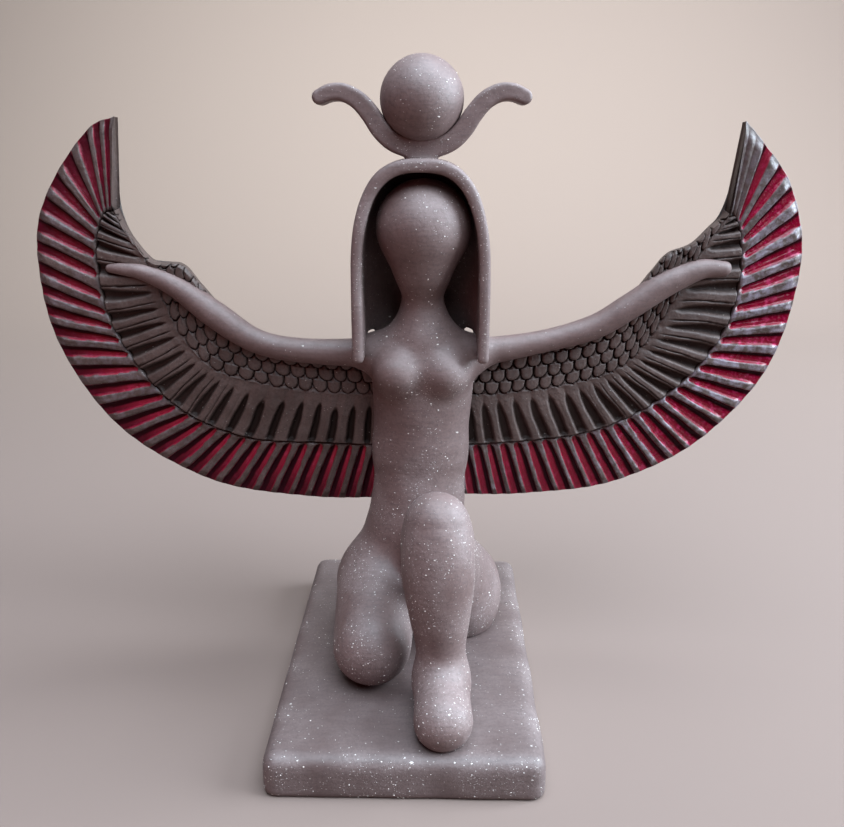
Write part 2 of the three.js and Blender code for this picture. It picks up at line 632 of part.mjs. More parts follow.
// The wing as courses from the lead edge over the front to the outer edge and back behind it. A course is a
// line of points along the wing, and each pair of courses is joined by a strip of triangles.
function wingSolid(stations) {
  const lead = stationLine(stations, 'lead');
  const scaleFoot = stationLine(stations, 'scales');
  const band = stationLine(stations, 'band');
  const edge = stationLine(stations, 'edge');
  const points = [];
  const course = (marks, place) => marks.map(({ feather, kind }) => {
    const [x, z, lift] = place(feather, kind);
    points.push([x, WING_FRONT_Y - lift, z]);
    return { feather, index: points.length - 1 };
  });
  const coarse = rowOfMembers(0, PRIMARIES, PRIMARIES, [0]);
  const courses = [course(coarse, (feather) => [...lead(feather), 0.2])];

  // Rows of scales, each with its rounded feet standing proud of a bed. They thin out towards the hand.
  const scaleMarks = (row, shares) => [
    { feather: 0, kind: 0 },
    ...rowOfMembers(SCALES_FROM + (row % 2) * SCALE_STAGGER, PRIMARIES, SCALES_IN_ROW, shares),
  ];
  SCALE_ROW_FEET.forEach((foot, row) => {
    const place = (lift) => (feather, kind) => {
      const deep = Math.hypot(...lead(feather).map((value, axis) => value - scaleFoot(feather)[axis]));
      const share = foot - (kind === 0 ? SCALE_POINT : 0);
      const proud = SCALE_BED + (lift - SCALE_BED) * Math.min(deep / SCALES_FULL_DEPTH, 1);
      return [...mixed(lead(feather), scaleFoot(feather), share), proud];
    };
    courses.push(course(scaleMarks(row, SCALE_SHOULDERS), place(SCALE_LIFT)));
    courses.push(course(scaleMarks(row, [0, 0.5]), place(SCALE_BED - 0.1)));
  });

  // The secondaries: vanes that rise towards their square tips, which stand over the band.
  const vaneMarks = rowOfMembers(0, PRIMARIES, SECONDARIES, VANE_SHOULDERS);
  courses.push(course(vaneMarks, (feather, kind) => [
    ...mixed(scaleFoot(feather), band(feather), 0.06),
    kind === 0 ? 0.2 : 0.7,
  ]));
  courses.push(course(vaneMarks, (feather, kind) => [
    ...mixed(band(feather), edge(feather), kind === 0 ? -0.02 : 0.02),
    VANE_LIFT - (kind === 0 ? VANE_NOTCH : 0),
  ]));

  // The primaries: a flat rib and a groove for each, out to a scalloped edge.
  const ribMarks = rowOfMembers(0, PRIMARIES, PRIMARIES, RIB_SHOULDERS);
  const ribLift = (kind) => (kind === 0 ? -GROOVE_DEPTH : RIB_LIFT);
  courses.push(course(ribMarks, (feather, kind) => [
    ...mixed(band(feather), edge(feather), 0.035),
    ribLift(kind) * 0.7,
  ]));
  courses.push(course(ribMarks, (feather, kind) => {
    const length = Math.hypot(...edge(feather).map((value, axis) => value - band(feather)[axis]));
    const proud = kind === 0 ? -EDGE_SCALLOP : 0;
    return [...mixed(band(feather), edge(feather), 1 + proud / length), ribLift(kind)];
  }));
  // The plain back, where the slab thins towards the tip.
  const backLift = (feather) => {
    const share = Math.min(feather / (PRIMARIES / 2), 1);
    return -TIP_THICKNESS - (WING_BACK_Y - WING_FRONT_Y - TIP_THICKNESS) * share * share * (3 - 2 * share);
  };
  courses.push(course(coarse, (feather) => {
    const outer = mixed(band(feather), edge(feather), 0.975);
    return [...outer, backLift(feather)];
  }));
  courses.push(course(coarse, (feather) => {
    const inner = mixed(lead(feather), edge(feather), 0.03);
    return [...inner, backLift(feather)];
  }));

  // Strips between the courses, and a fan over each end of the wing.
  const triangles = [];
  for (let turn = 0; turn < courses.length; turn += 1) {
    const [a, b] = [courses[turn], courses[(turn + 1) % courses.length]];
    let [i, j] = [0, 0];
    while (i < a.length - 1 || j < b.length - 1) {
      const stepFirst = j === b.length - 1 || (i < a.length - 1 && a[i + 1].feather <= b[j + 1].feather);
      if (stepFirst) {
        triangles.push([a[i].index, a[i + 1].index, b[j].index]);
        i += 1;
      } else {
        triangles.push([a[i].index, b[j + 1].index, b[j].index]);
        j += 1;
      }
    }
  }
  for (const [end, flip] of [[0, false], [-1, true]]) {
    const rim = courses.map((line) => line.at(end).index);
    const back = rim.length - 1;
    for (let turn = 0; turn < rim.length - 2; turn += 1) {
      const face = [rim[back], rim[turn], rim[turn + 1]];
      triangles.push(flip ? face.reverse() : face);
    }
  }
  return solidOf(closedGeometry(points, triangles));
}

// The members, put together.

const [bareBody, grownBody] = surfaceNet(bodyDistance, BODY_BOX, BODY_CELL, [0, CUT_ROOM]);
const ground = boxSolid(
  [-PLINTH_LENGTH, -PLINTH_LENGTH, -PLINTH_HEIGHT],
  [PLINTH_LENGTH, PLINTH_LENGTH, PLINTH_HEIGHT + SEAM],
);
const arms = [RIGHT_ARM, LEFT_ARM];
const figure = arms.reduce((body, arm) => body.add(rodSolid(arm, 0)), bareBody).subtract(ground);
const grownFigure = arms.reduce((body, arm) => body.add(rodSolid(arm, CUT_ROOM)), grownBody);
const wig = wigSolid(grownFigure);
const grownOutside = {
  halfWidth: WIG_OUTSIDE.halfWidth + SEAM,
  back: WIG_OUTSIDE.back + SEAM,
  spring: WIG_OUTSIDE.spring,
  rise: WIG_OUTSIDE.rise + SEAM,
};
const grownWig = vaultSolid(grownOutside, WIG_FRONT_Y - SEAM, WIG_NAPE_Z);
const horns = hornsSolid().subtract(grownWig).subtract(sunSolid(CUT_ROOM));
const leftWing = mainPiece(wingSolid(LEFT_WING).subtract(grownFigure));
const rightWing = mainPiece(wingSolid(RIGHT_WING).subtract(grownFigure));

const BODY_CLAY = { color: 0x5f5554, roughness: 0.82, metalness: 0 };
const WING_CLAY = { color: 0x473c39, roughness: 0.62, metalness: 0 };

const figurine = new THREE.Group();
for (const [name, solid, finish] of [
  ['plinth', plinthSolid(), BODY_CLAY],
  ['figure', figure, BODY_CLAY],
  ['wig', wig, BODY_CLAY],
  ['horns', horns, BODY_CLAY],
  ['sun_ball', sunSolid(0), BODY_CLAY],
  ['left_wing', leftWing, WING_CLAY],
  ['right_wing', rightWing, WING_CLAY],
]) {
  const mesh = new THREE.Mesh(geometryOf(solid), new THREE.MeshStandardMaterial(finish));
  mesh.name = name;
  mesh.position.y = name === 'plinth' ? 0 : -FIGURE_FORWARD;
  figurine.add(mesh);
}

export default figurine;
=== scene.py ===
"""A kneeling winged goddess in grogged stoneware, in the ancient Egyptian manner.

Metres in the scene, millimetres in every size of the figurine below, +Z up. The goddess faces -Y. The left wing
is the one on the viewer's left. Each member is a class with its sizes as fields, and each finish is a small
class of its own.
"""

import logging
import math
from dataclasses import dataclass, field
from enum import Enum
from typing import Callable, Optional, Sequence, Union

import bpy
import numpy as np
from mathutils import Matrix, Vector


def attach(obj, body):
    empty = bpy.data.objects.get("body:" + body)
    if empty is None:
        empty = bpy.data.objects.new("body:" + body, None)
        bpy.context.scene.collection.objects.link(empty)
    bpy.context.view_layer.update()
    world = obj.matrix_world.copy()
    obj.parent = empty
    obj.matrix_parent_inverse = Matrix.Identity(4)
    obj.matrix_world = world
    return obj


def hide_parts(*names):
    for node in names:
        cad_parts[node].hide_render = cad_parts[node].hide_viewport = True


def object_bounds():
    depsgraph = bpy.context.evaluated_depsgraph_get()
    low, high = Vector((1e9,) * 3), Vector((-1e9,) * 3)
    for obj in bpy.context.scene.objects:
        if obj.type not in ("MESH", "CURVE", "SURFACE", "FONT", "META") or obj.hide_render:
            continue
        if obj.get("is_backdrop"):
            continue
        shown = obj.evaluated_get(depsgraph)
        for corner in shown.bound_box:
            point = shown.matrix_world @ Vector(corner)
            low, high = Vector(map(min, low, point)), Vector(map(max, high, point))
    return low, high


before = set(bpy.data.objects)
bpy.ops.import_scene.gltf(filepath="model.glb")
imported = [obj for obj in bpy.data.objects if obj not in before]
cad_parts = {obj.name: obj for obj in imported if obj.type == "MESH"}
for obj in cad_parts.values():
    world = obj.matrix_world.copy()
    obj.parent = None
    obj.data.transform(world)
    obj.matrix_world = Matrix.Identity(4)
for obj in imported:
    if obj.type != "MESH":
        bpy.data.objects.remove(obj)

LOG = logging.getLogger("figurine")
MM = 0.001
FAR = 1000.0
BODY = "root"
FORWARD = 1.2
CLAY_SLOT = "grogged_stoneware"
WING_SLOT = "glazed_wing_clay"

Points = np.ndarray
Distance = Callable[[Points], np.ndarray]
Vec = tuple[float, float, float]


class WingSide(Enum):
    """Which wing, as the viewer sees it."""

    LEFT = "left_wing"
    RIGHT = "right_wing"


def join(tree: bpy.types.NodeTree, target: bpy.types.NodeSocket, value: object) -> None:
    """Links or sets an input.

    Args:
        tree: The tree that it is in.
        target: The input socket.
        value: A flow, a socket, a number or a colour.
    """
    source = value.socket if isinstance(value, Flow) else value
    if isinstance(source, bpy.types.NodeSocket):
        tree.links.new(source, target)
    else:
        target.default_value = source


class Flow:
    """A value in a node tree, which takes sums and products as a number does."""

    def __init__(self, tree: bpy.types.NodeTree, socket: Union[bpy.types.NodeSocket, float]) -> None:
        """Keeps the tree and the socket or the plain number."""
        self.tree = tree
        self.socket = socket

    def _math(self, operation: str, *others: Union["Flow", float], clamp: bool = False) -> "Flow":
        """Adds a Math node.

        Args:
            operation: The Math node's operation.
            others: The second and third value.
            clamp: Whether the result is held between 0 and 1.

        Returns:
            The result.
        """
        node = self.tree.nodes.new("ShaderNodeMath")
        node.operation = operation
        node.use_clamp = clamp
        for place, value in enumerate((self, *others)):
            join(self.tree, node.inputs[place], value)
        return Flow(self.tree, node.outputs[0])

    def __add__(self, other: Union["Flow", float]) -> "Flow":
        """Sum."""
        return self._math("ADD", other)

    def __mul__(self, other: Union["Flow", float]) -> "Flow":
        """Product."""
        return self._math("MULTIPLY", other)

    def __sub__(self, other: Union["Flow", float]) -> "Flow":
        """Difference."""
        return self._math("SUBTRACT", other)

    def __rsub__(self, other: Union["Flow", float]) -> "Flow":
        """Difference, turned round."""
        return Flow(self.tree, other)._math("SUBTRACT", self)

    def __truediv__(self, other: Union["Flow", float]) -> "Flow":
        """Quotient."""
        return self._math("DIVIDE", other)

    def power(self, exponent: float) -> "Flow":
        """This value to a power."""
        return self._math("POWER", exponent)

    def floor(self) -> "Flow":
        """The whole number below."""
        return self._math("FLOOR")

    def fract(self) -> "Flow":
        """What is left above the whole number."""
        return self._math("FRACT")

    def sqrt(self) -> "Flow":
        """Square root, or 0 below 0."""
        return self._math("MAXIMUM", 0.0)._math("SQRT")

    def absolute(self) -> "Flow":
        """Size without the sign."""
        return self._math("ABSOLUTE")

    def most(self, other: Union["Flow", float]) -> "Flow":
        """The larger of the two."""
        return self._math("MAXIMUM", other)

    def least(self, other: Union["Flow", float]) -> "Flow":
        """The smaller of the two."""
        return self._math("MINIMUM", other)

    def above(self, other: Union["Flow", float]) -> "Flow":
        """1 where this is above the other, and 0 elsewhere."""
        return self._math("GREATER_THAN", other)

    def clamped(self) -> "Flow":
        """Held between 0 and 1."""
        return self._math("ADD", 0.0, clamp=True)

    def smooth(self, low: Union["Flow", float], high: Union["Flow", float]) -> "Flow":
        """Rises softly from 0 at low to 1 at high.

        Args:
            low: Where the rise starts.
            high: Where it ends, which may be below low for a fall.

        Returns:
            The soft step.
        """
        node = self.tree.nodes.new("ShaderNodeMapRange")
        node.interpolation_type = "SMOOTHSTEP"
        for place, value in enumerate((self, low, high)):
            join(self.tree, node.inputs[place], value)
        return Flow(self.tree, node.outputs[0])

    def between(self, low: Union["Flow", float], high: Union["Flow", float]) -> "Flow":
        """This share of the way from low to high."""
        return self * (high - low) + low

    def hypot(self, other: Union["Flow", float]) -> "Flow":
        """The length of two values at right angles."""
        squared = other * other
        return (self * self + squared).sqrt()


class Bench:
    """Adds nodes to one tree and hands back their values as flows."""

    def __init__(self, tree: bpy.types.NodeTree) -> None:
        """Keeps the tree."""
        self.tree = tree

    def node(self, kind: str, **settings: object) -> bpy.types.Node:
        """Adds a node.

        Args:
            kind: The node's type.
            settings: Its properties.

        Returns:
            The node.
        """
        made = self.tree.nodes.new(kind)
        for name, value in settings.items():
            setattr(made, name, value)
        return made

    def feed(self, target: bpy.types.NodeSocket, value: object) -> None:
        """Links or sets an input.

        Args:
            target: The input socket.
            value: A flow, a socket, a number or a colour.
        """
        join(self.tree, target, value)

    def flow(self, socket: bpy.types.NodeSocket) -> Flow:
        """A socket as a flow."""
        return Flow(self.tree, socket)


class ReliefTree(Bench):
    """A geometry tree with named inputs, which is run once on an object and leaves a plain mesh."""

    def __init__(self, name: str) -> None:
        """Starts the tree with its geometry going in and out.

        Args:
            name: The tree's name.
        """
        super().__init__(bpy.data.node_groups.new(name, "GeometryNodeTree"))
        face = self.tree.interface
        face.new_socket("Geometry", in_out="INPUT", socket_type="NodeSocketGeometry")
        face.new_socket("Geometry", in_out="OUTPUT", socket_type="NodeSocketGeometry")
        self.entry = self.node("NodeGroupInput")
        self.exit = self.node("NodeGroupOutput")
        self.values: dict[str, object] = {}

    def size(self, name: str, value: float, kind: str = "NodeSocketFloat") -> Flow:
        """A named input with its value.

        Args:
            name: The input's name.
            value: What it is set to on the modifier.
            kind: The socket's type.

        Returns:
            The input as a flow.
        """
        self.tree.interface.new_socket(name, in_out="INPUT", socket_type=kind)
        self.values[name] = value
        return self.flow(self.entry.outputs[name])

    def attribute(self, name: str) -> Flow:
        """A float that is stored on the mesh.

        Args:
            name: The attribute's name.

        Returns:
            The value.
        """
        node = self.node("GeometryNodeInputNamedAttribute", data_type="FLOAT")
        node.inputs["Name"].default_value = name
        return self.flow(node.outputs[0])

    def noise(self, scale: float, detail: float) -> Flow:
        """Soft noise from 0 to 1 over the mesh.

        Args:
            scale: How fine it is, per metre.
            detail: Octaves.

        Returns:
            The noise.
        """
        node = self.node("ShaderNodeTexNoise")
        node.inputs["Scale"].default_value = scale
        node.inputs["Detail"].default_value = detail
        self.feed(node.inputs["Vector"], self.node("GeometryNodeInputPosition").outputs[0])
        return self.flow(node.outputs[0])

    def vector(self, x: object = 0.0, y: object = 0.0, z: object = 0.0) -> bpy.types.NodeSocket:
        """A vector from three values.

        Args:
            x: The first value.
            y: The second.
            z: The third.

        Returns:
            The vector's socket.
        """
        node = self.node("ShaderNodeCombineXYZ")
        for place, value in enumerate((x, y, z)):
            self.feed(node.inputs[place], value)
        return node.outputs[0]

    def dress(self, geometry: bpy.types.NodeSocket, finish: bpy.types.Material) -> None:
        """Makes instances real, sets the material and hands the geometry out of the tree.

        Args:
            geometry: The geometry so far.
            finish: The material.
        """
        whole = self.node("GeometryNodeRealizeInstances")
        self.feed(whole.inputs["Geometry"], geometry)
        dressed = self.node("GeometryNodeSetMaterial")
        dressed.inputs["Material"].default_value = finish
        self.feed(dressed.inputs["Geometry"], whole.outputs["Geometry"])
        self.feed(self.exit.inputs["Geometry"], dressed.outputs["Geometry"])

    def run(self, target: bpy.types.Object) -> None:
        """Applies the tree to an object and leaves a plain mesh.

        Args:
            target: The object that the tree works on.
        """
        modifier = target.modifiers.new(self.tree.name, "NODES")
        modifier.node_group = self.tree
        for item in self.tree.interface.items_tree:
            if item.item_type == "SOCKET" and item.in_out == "INPUT" and item.name in self.values:
                modifier[item.identifier] = self.values[item.name]
        bpy.context.view_layer.update()
        seen = target.evaluated_get(bpy.context.evaluated_depsgraph_get())
        plain = bpy.data.meshes.new_from_object(seen)
        target.modifiers.remove(modifier)
        old = target.data
        target.data = plain
        plain.name = target.name
        bpy.data.meshes.remove(old)


class Glaze(Bench):
    """A shader tree around one principled shader, on object coordinates."""

    def __init__(self, name: str) -> None:
        """Starts the material.

        Args:
            name: The material's name.
        """
        self.material = bpy.data.materials.new(name)
        self.material.use_nodes = True
        super().__init__(self.material.node_tree)
        self.shader = self.tree.nodes["Principled BSDF"]
        self.place = self.node("ShaderNodeTexCoord").outputs["Object"]

    def stored(self, name: str) -> Flow:
        """A value that is stored on the mesh."""
        node = self.node("ShaderNodeAttribute", attribute_type="GEOMETRY", attribute_name=name)
        return self.flow(node.outputs["Fac"])

    def noise(
        self, scale: float, detail: float = 3.0, rough: float = 0.5, squeeze: Vec = (1.0, 1.0, 1.0)
    ) -> Flow:
        """Soft noise from 0 to 1.

        Args:
            scale: How fine it is, per metre.
            detail: Octaves.
            rough: How strong the finer octaves are.
            squeeze: How much finer it is along each axis; below 1 draws it out.

        Returns:
            The noise.
        """
        node = self.node("ShaderNodeTexNoise")
        node.inputs["Scale"].default_value = scale
        node.inputs["Detail"].default_value = detail
        node.inputs["Roughness"].default_value = rough
        drawn = self.node("ShaderNodeVectorMath", operation="MULTIPLY")
        self.feed(drawn.inputs[0], self.place)
        drawn.inputs[1].default_value = squeeze
        self.feed(node.inputs["Vector"], drawn.outputs[0])
        return self.flow(node.outputs[0])

    def specks(self, scale: float, largest: float, share: Union[Flow, float]) -> Flow:
        """Scattered specks of several sizes.

        Args:
            scale: Cells per metre, each with room for one speck.
            largest: The largest speck's radius, as a share of a cell.
            share: The share of cells that have a speck.

        Returns:
            1 on a speck, 0 off it.
        """
        node = self.node("ShaderNodeTexVoronoi")
        node.inputs["Scale"].default_value = scale
        node.inputs["Randomness"].default_value = 1.0
        ragged = self.node("ShaderNodeTexNoise")
        ragged.inputs["Scale"].default_value = scale * 2.2
        self.feed(ragged.inputs["Vector"], self.place)
        shifted = self.node("ShaderNodeVectorMath", operation="MULTIPLY_ADD")
        self.feed(shifted.inputs[0], ragged.outputs["Color"])
        shifted.inputs[1].default_value = (0.55 / scale,) * 3
        self.feed(shifted.inputs[2], self.place)
        drawn = self.node("ShaderNodeVectorMath", operation="MULTIPLY")
        self.feed(drawn.inputs[0], shifted.outputs[0])
        drawn.inputs[1].default_value = (0.6, 0.75, 1.2)
        self.feed(node.inputs["Vector"], drawn.outputs[0])
        split = self.node("ShaderNodeSeparateColor")
        self.feed(split.inputs[0], node.outputs["Color"])
        chance, grade, bright = (self.flow(split.outputs[channel]) for channel in range(3))
        radius = grade * grade * (largest * 0.75) + largest * 0.25
        distance = self.flow(node.outputs["Distance"])
        spot = distance.smooth(radius * 1.15, radius * 0.8)
        return spot * chance.above(1.0 - share) * bright.between(0.35, 1.0)

    def blend(self, share: object, first: object, second: object) -> bpy.types.NodeSocket:
        """Mixes two colours.

        Args:
            share: 0 for the first, 1 for the second.
            first: A colour or a socket.
            second: A colour or a socket.

        Returns:
            The mixed colour.
        """
        node = self.node("ShaderNodeMix", data_type="RGBA")
        self.feed(node.inputs[0], share)
        self.feed(node.inputs[6], first)
        self.feed(node.inputs[7], second)
        return node.outputs[2]

    def bump(
        self, height: Flow, depth: float, below: Optional[bpy.types.NodeSocket] = None
    ) -> bpy.types.NodeSocket:
        """Bump from a height.

        Args:
            height: From 0 to 1.
            depth: What a height of 1 stands for, in metres.
            below: A normal that this one is laid on.

        Returns:
            The normal.
        """
        node = self.node("ShaderNodeBump")
        node.inputs["Strength"].default_value = 1.0
        node.inputs["Distance"].default_value = depth
        self.feed(node.inputs["Height"], height)
        if below is not None:
            self.feed(node.inputs["Normal"], below)
        return node.outputs[0]


def colour(red: int, green: int, blue: int) -> tuple[float, float, float, float]:
    """A screen colour as the linear colour that shaders take.

    Args:
        red: From 0 to 255.
        green: The same.
        blue: The same.

    Returns:
        The colour, with 1 for its alpha.
    """
    def linear(value: int) -> float:
        """One channel."""
        share = value / 255
        return share / 12.92 if share <= 0.04045 else ((share + 0.055) / 1.055) ** 2.4
    return (linear(red), linear(green), linear(blue), 1.0)


@dataclass(frozen=True)
class Stoneware:
    """Grey-brown grogged stoneware, smoothed with a thumb; the grit shows where the skin was worn."""

    name: str = "grogged stoneware"
    pale: tuple = colour(108, 86, 83)
    dark: tuple = colour(86, 60, 56)
    dust: tuple = colour(158, 142, 140)
    grain_dark: tuple = colour(54, 36, 34)
    grog: tuple = colour(236, 228, 220)
    soot: tuple = colour(44, 36, 35)
    roughness: float = 0.62
    ior: float = 1.7
    dust_share: float = 0.22
    grain_share: float = 0.34
    drag_share: float = 0.2
    pore_share: float = 0.7
    grog_share: float = 0.9
    thumb_depth: float = 0.0004
    skin_depth: float = 0.0002

    def build(self) -> bpy.types.Material:
        """The finish as a material.

        Returns:
            The material.
        """
        glaze = Glaze(self.name)
        grit = glaze.stored("grit")
        broad = glaze.noise(26, 4, 0.55).smooth(0.3, 0.72)
        close = glaze.noise(190, 3, 0.6).smooth(0.35, 0.68)
        cloud = broad * 0.7 + close * 0.3
        grain = glaze.noise(1000, 4, 0.7)
        drag = glaze.noise(620, 3, 0.6, (0.22, 1.0, 1.5))
        large = glaze.specks(460, 0.17, grit * 0.14)
        small = glaze.specks(1000, 0.24, grit * 0.34 + 0.01)
        fine = glaze.specks(1900, 0.3, grit * 0.5 + 0.05)
        pores = glaze.specks(640, 0.13, grit * 0.12 + 0.02)
        pale = large.most(small * 0.8).most(fine * 0.55)
        ground = glaze.blend(grit * self.dust_share, glaze.blend(cloud, self.dark, self.pale), self.dust)
        texture = grain.smooth(0.38, 0.72) * self.grain_share + drag.smooth(0.4, 0.7) * self.drag_share
        texture = texture.clamped()
        grained = glaze.blend(texture, ground, self.grain_dark)
        pored = glaze.blend(pores * self.pore_share, grained, self.soot)
        skin = glaze.blend(pale * self.grog_share, pored, self.grog)
        glaze.feed(glaze.shader.inputs["Base Color"], skin)
        rough = glaze.noise(340, 3).between(self.roughness - 0.05, self.roughness + 0.1) - pale * 0.2
        glaze.feed(glaze.shader.inputs["Roughness"], rough)
        height = grain * (grit * 0.5 + 0.25) + drag * 0.35 + pale * 0.45 - pores * 0.9
        soft = glaze.bump(glaze.noise(90, 3, 0.5), self.thumb_depth)
        glaze.feed(glaze.shader.inputs["Normal"], glaze.bump(height, self.skin_depth, soft))
        glaze.shader.inputs["IOR"].default_value = self.ior
        return glaze.material


@dataclass(frozen=True)
class WingClay:
    """Dark slip with grey glaze and painted highlight on the ribs, crimson glaze and painted shade in the
    hollows.
    """

    name: str = "wing clay and crimson glaze"
    slip: tuple = colour(63, 46, 41)
    slip_pale: tuple = colour(88, 70, 65)
    burnt_and_shade: tuple = colour(31, 21, 18)
    grey_glaze_and_highlight: tuple = colour(134, 125, 136)
    crimson: tuple = colour(138, 2, 40)
    pale_crimson_highlight: tuple = colour(206, 60, 108)
    deep_crimson_and_shade: tuple = colour(40, 4, 14)
    grog: tuple = colour(206, 196, 188)
    ior: float = 1.5
    burn_share: float = 0.45
    rib_share: float = 0.8
    speck_share: float = 0.7
    wet_gloss: float = 0.3
    rib_gloss: float = 0.32
    dent_depth: float = 0.0005
    skin_depth: float = 0.00018

    def build(self) -> bpy.types.Material:
        """The finish as a material.

        Returns:
            The material.
        """
        glaze = Glaze(self.name)
        # The stored hollow value is painted shade with the glaze's fade mixed in. It is not the depth of the
        # hollow.
        red, grey_glaze_and_highlight, hollow = (glaze.stored(name).clamped() for name in ("glaze", "grey_glaze_and_highlight", "hollow"))
        cloud = glaze.noise(60, 4, 0.55).smooth(0.3, 0.75)
        grain = glaze.noise(1200, 4, 0.7)
        streak = glaze.noise(420, 3, 0.6)
        specks = glaze.specks(620, 0.14, 0.1).most(glaze.specks(1300, 0.22, 0.16) * 0.6)
        base = glaze.blend(cloud * 0.8, self.slip, self.slip_pale)
        grained = glaze.blend(grain.smooth(0.4, 0.7) * self.burn_share, base, self.burnt_and_shade)
        # Painted shade: the slip turns near black in the cuts, along the band seam, in the scale cracks and on
        # the steep groove walls.
        burnt_and_shade = glaze.blend(hollow, grained, self.burnt_and_shade)
        # Painted highlight: the grey glaze colour, laid in light streaks along the ribs.
        ribs = glaze.blend(grey_glaze_and_highlight * streak.smooth(0.38, 0.68) * self.rib_share, burnt_and_shade, self.grey_glaze_and_highlight)
        specked = glaze.blend(specks * self.speck_share, ribs, self.grog)
        # Painted highlight on the crimson glaze: pale pink streaks, stronger where the ribs carry their
        # highlight.
        clear = glaze.blend(streak.smooth(0.5, 0.72) * grey_glaze_and_highlight.most(0.25) * 0.9, self.crimson, self.pale_crimson_highlight)
        # The crimson darkens with painted shadow on the steep groove walls, and with the glaze's fade towards
        # the edge and the tip.
        wet = glaze.blend(hollow, clear, self.deep_crimson_and_shade)
        mask = (red * 1.6 - grain.smooth(0.5, 0.8) * 0.3).clamped()
        glaze.feed(glaze.shader.inputs["Base Color"], glaze.blend(mask, specked, wet))
        wetness = mask * grey_glaze_and_highlight.between(0.04, self.wet_gloss)
        gloss = wetness + grey_glaze_and_highlight * streak.smooth(0.35, 0.6) * self.rib_gloss
        glaze.feed(glaze.shader.inputs["Roughness"], grain.between(0.5, 0.66) - gloss)
        glaze.feed(glaze.shader.inputs["Specular IOR Level"], hollow.between(0.5, 0.1))
        dents = glaze.bump(glaze.noise(260, 3, 0.6), self.dent_depth)
        glaze.feed(glaze.shader.inputs["Normal"], glaze.bump(grain * 0.8 + specks * 0.5, self.skin_depth, dents))
        glaze.shader.inputs["IOR"].default_value = self.ior
        return glaze.material


@dataclass(frozen=True)
class Grog:
    """The pale crushed grit that stands in the clay's skin."""

    name: str = "white grog"
    pale: tuple = colour(238, 232, 226)
    dark: tuple = colour(182, 170, 162)

    def build(self) -> bpy.types.Material:
        """The finish as a material.

        Returns:
            The material.
        """
        glaze = Glaze(self.name)
        mottle = glaze.noise(2600, 2)
        mottled = glaze.blend(mottle.smooth(0.3, 0.7), self.dark, self.pale)
        glaze.feed(glaze.shader.inputs["Base Color"], mottled)
        glaze.feed(glaze.shader.inputs["Roughness"], mottle.between(0.2, 0.45))
        return glaze.material


@dataclass(frozen=True)
class PaleFloor:
    """The plain pale floor and wall of the studio."""

    name: str = "pale floor"
    tint: tuple = colour(115, 98, 91)
    roughness: float = 0.9

    def build(self) -> bpy.types.Material:
        """The finish as a material.

        Returns:
            The material.
        """
        glaze = Glaze(self.name)
        glaze.shader.inputs["Base Color"].default_value = self.tint
        glaze.shader.inputs["Roughness"].default_value = self.roughness
        return glaze.material


def soft_union(first: np.ndarray, second: np.ndarray, blend: float) -> np.ndarray:
    """The nearer of two forms, run together where they meet.

    Args:
        first: Distances to one form.
        second: Distances to the other.
        blend: How far the join reaches.

    Returns:
        Distances to both together.
    """
    if blend <= 0:
        return np.minimum(first, second)
    near = np.maximum(blend - np.abs(first - second), 0) / blend
    return np.minimum(first, second) - near * near * blend * 0.25


def soft_cut(first: np.ndarray, second: np.ndarray, blend: float) -> np.ndarray:
    """What two forms share, with a softened edge where they cross."""
    return -soft_union(-first, -second, blend)


def hand_marks(points: Points, depth: float, length: float) -> np.ndarray:
    """Slight unevenness, as hands leave it, never above 0.

    Args:
        points: Places in millimetres.
        depth: How deep it goes.
        length: How far apart the hollows are.

    Returns:
        A distance to add, from 0 to the depth.
    """
    x, y, z = (points[:, axis] / length for axis in range(3))
    across = np.sin(x * 1.9 + 0.7 * np.sin(z * 1.3))
    upward = np.sin(z * 1.7 + 0.5 * np.sin(x * 1.1))
    wave = across * np.sin(y * 2.1 + 1.1) * upward
    wave = wave + 0.25 * np.sin(x * 3.3 + 2.0) * np.sin(y * 2.7) * np.sin(z * 3.1 + 1.0)
    return depth * (0.5 + wave * 0.4)


@dataclass(frozen=True)
class TaperedBar:
    """A round bar between two centres, each with its radius, squeezed from front to back by its depth."""

    start: Vec
    end: Vec
    radii: tuple[float, float]
    depth: float = 1.0
    blend: float = 0.0

    def near(self, points: Points, room: float) -> np.ndarray:
        """Which points lie in the bar's box and the room around it.

        Args:
            points: Places in millimetres.
            room: How wide the room is.

        Returns:
            True for each point that does.
        """
        reach = max(self.radii) + self.blend + room
        low = np.minimum(self.start, self.end) - reach
        high = np.maximum(self.start, self.end) + reach
        return np.all((points > low) & (points < high), axis=1)

    def distance(self, points: Points) -> np.ndarray:
        """Distances to the bar's skin, below 0 inside.

        Args:
            points: Places in millimetres.

        Returns:
            One distance for each place.
        """
        start, end = np.array(self.start, float), np.array(self.end, float)
        middle = (start[1] + end[1]) / 2
        reach = points - start
        reach[:, 1] = middle + (points[:, 1] - middle) / self.depth - start[1]
        along = end - start
        length2 = float(along @ along)
        taper = self.radii[0] - self.radii[1]
        side2 = length2 - taper * taper
        y = reach @ along
        z = y - length2
        cross = reach * length2 - np.outer(y, along)
        x2 = np.einsum("ij,ij->i", cross, cross)
        y2 = y * y * length2
        z2 = z * z * length2
        k = np.sign(taper) * taper * taper * x2
        body = (np.sqrt(x2 * side2 / length2) + y * taper) / length2 - self.radii[0]
        result = np.where(np.sign(y) * side2 * y2 < k, np.sqrt(x2 + y2) / length2 - self.radii[0], body)
        result = np.where(np.sign(z) * side2 * z2 > k, np.sqrt(x2 + z2) / length2 - self.radii[1], result)
        return result * self.depth


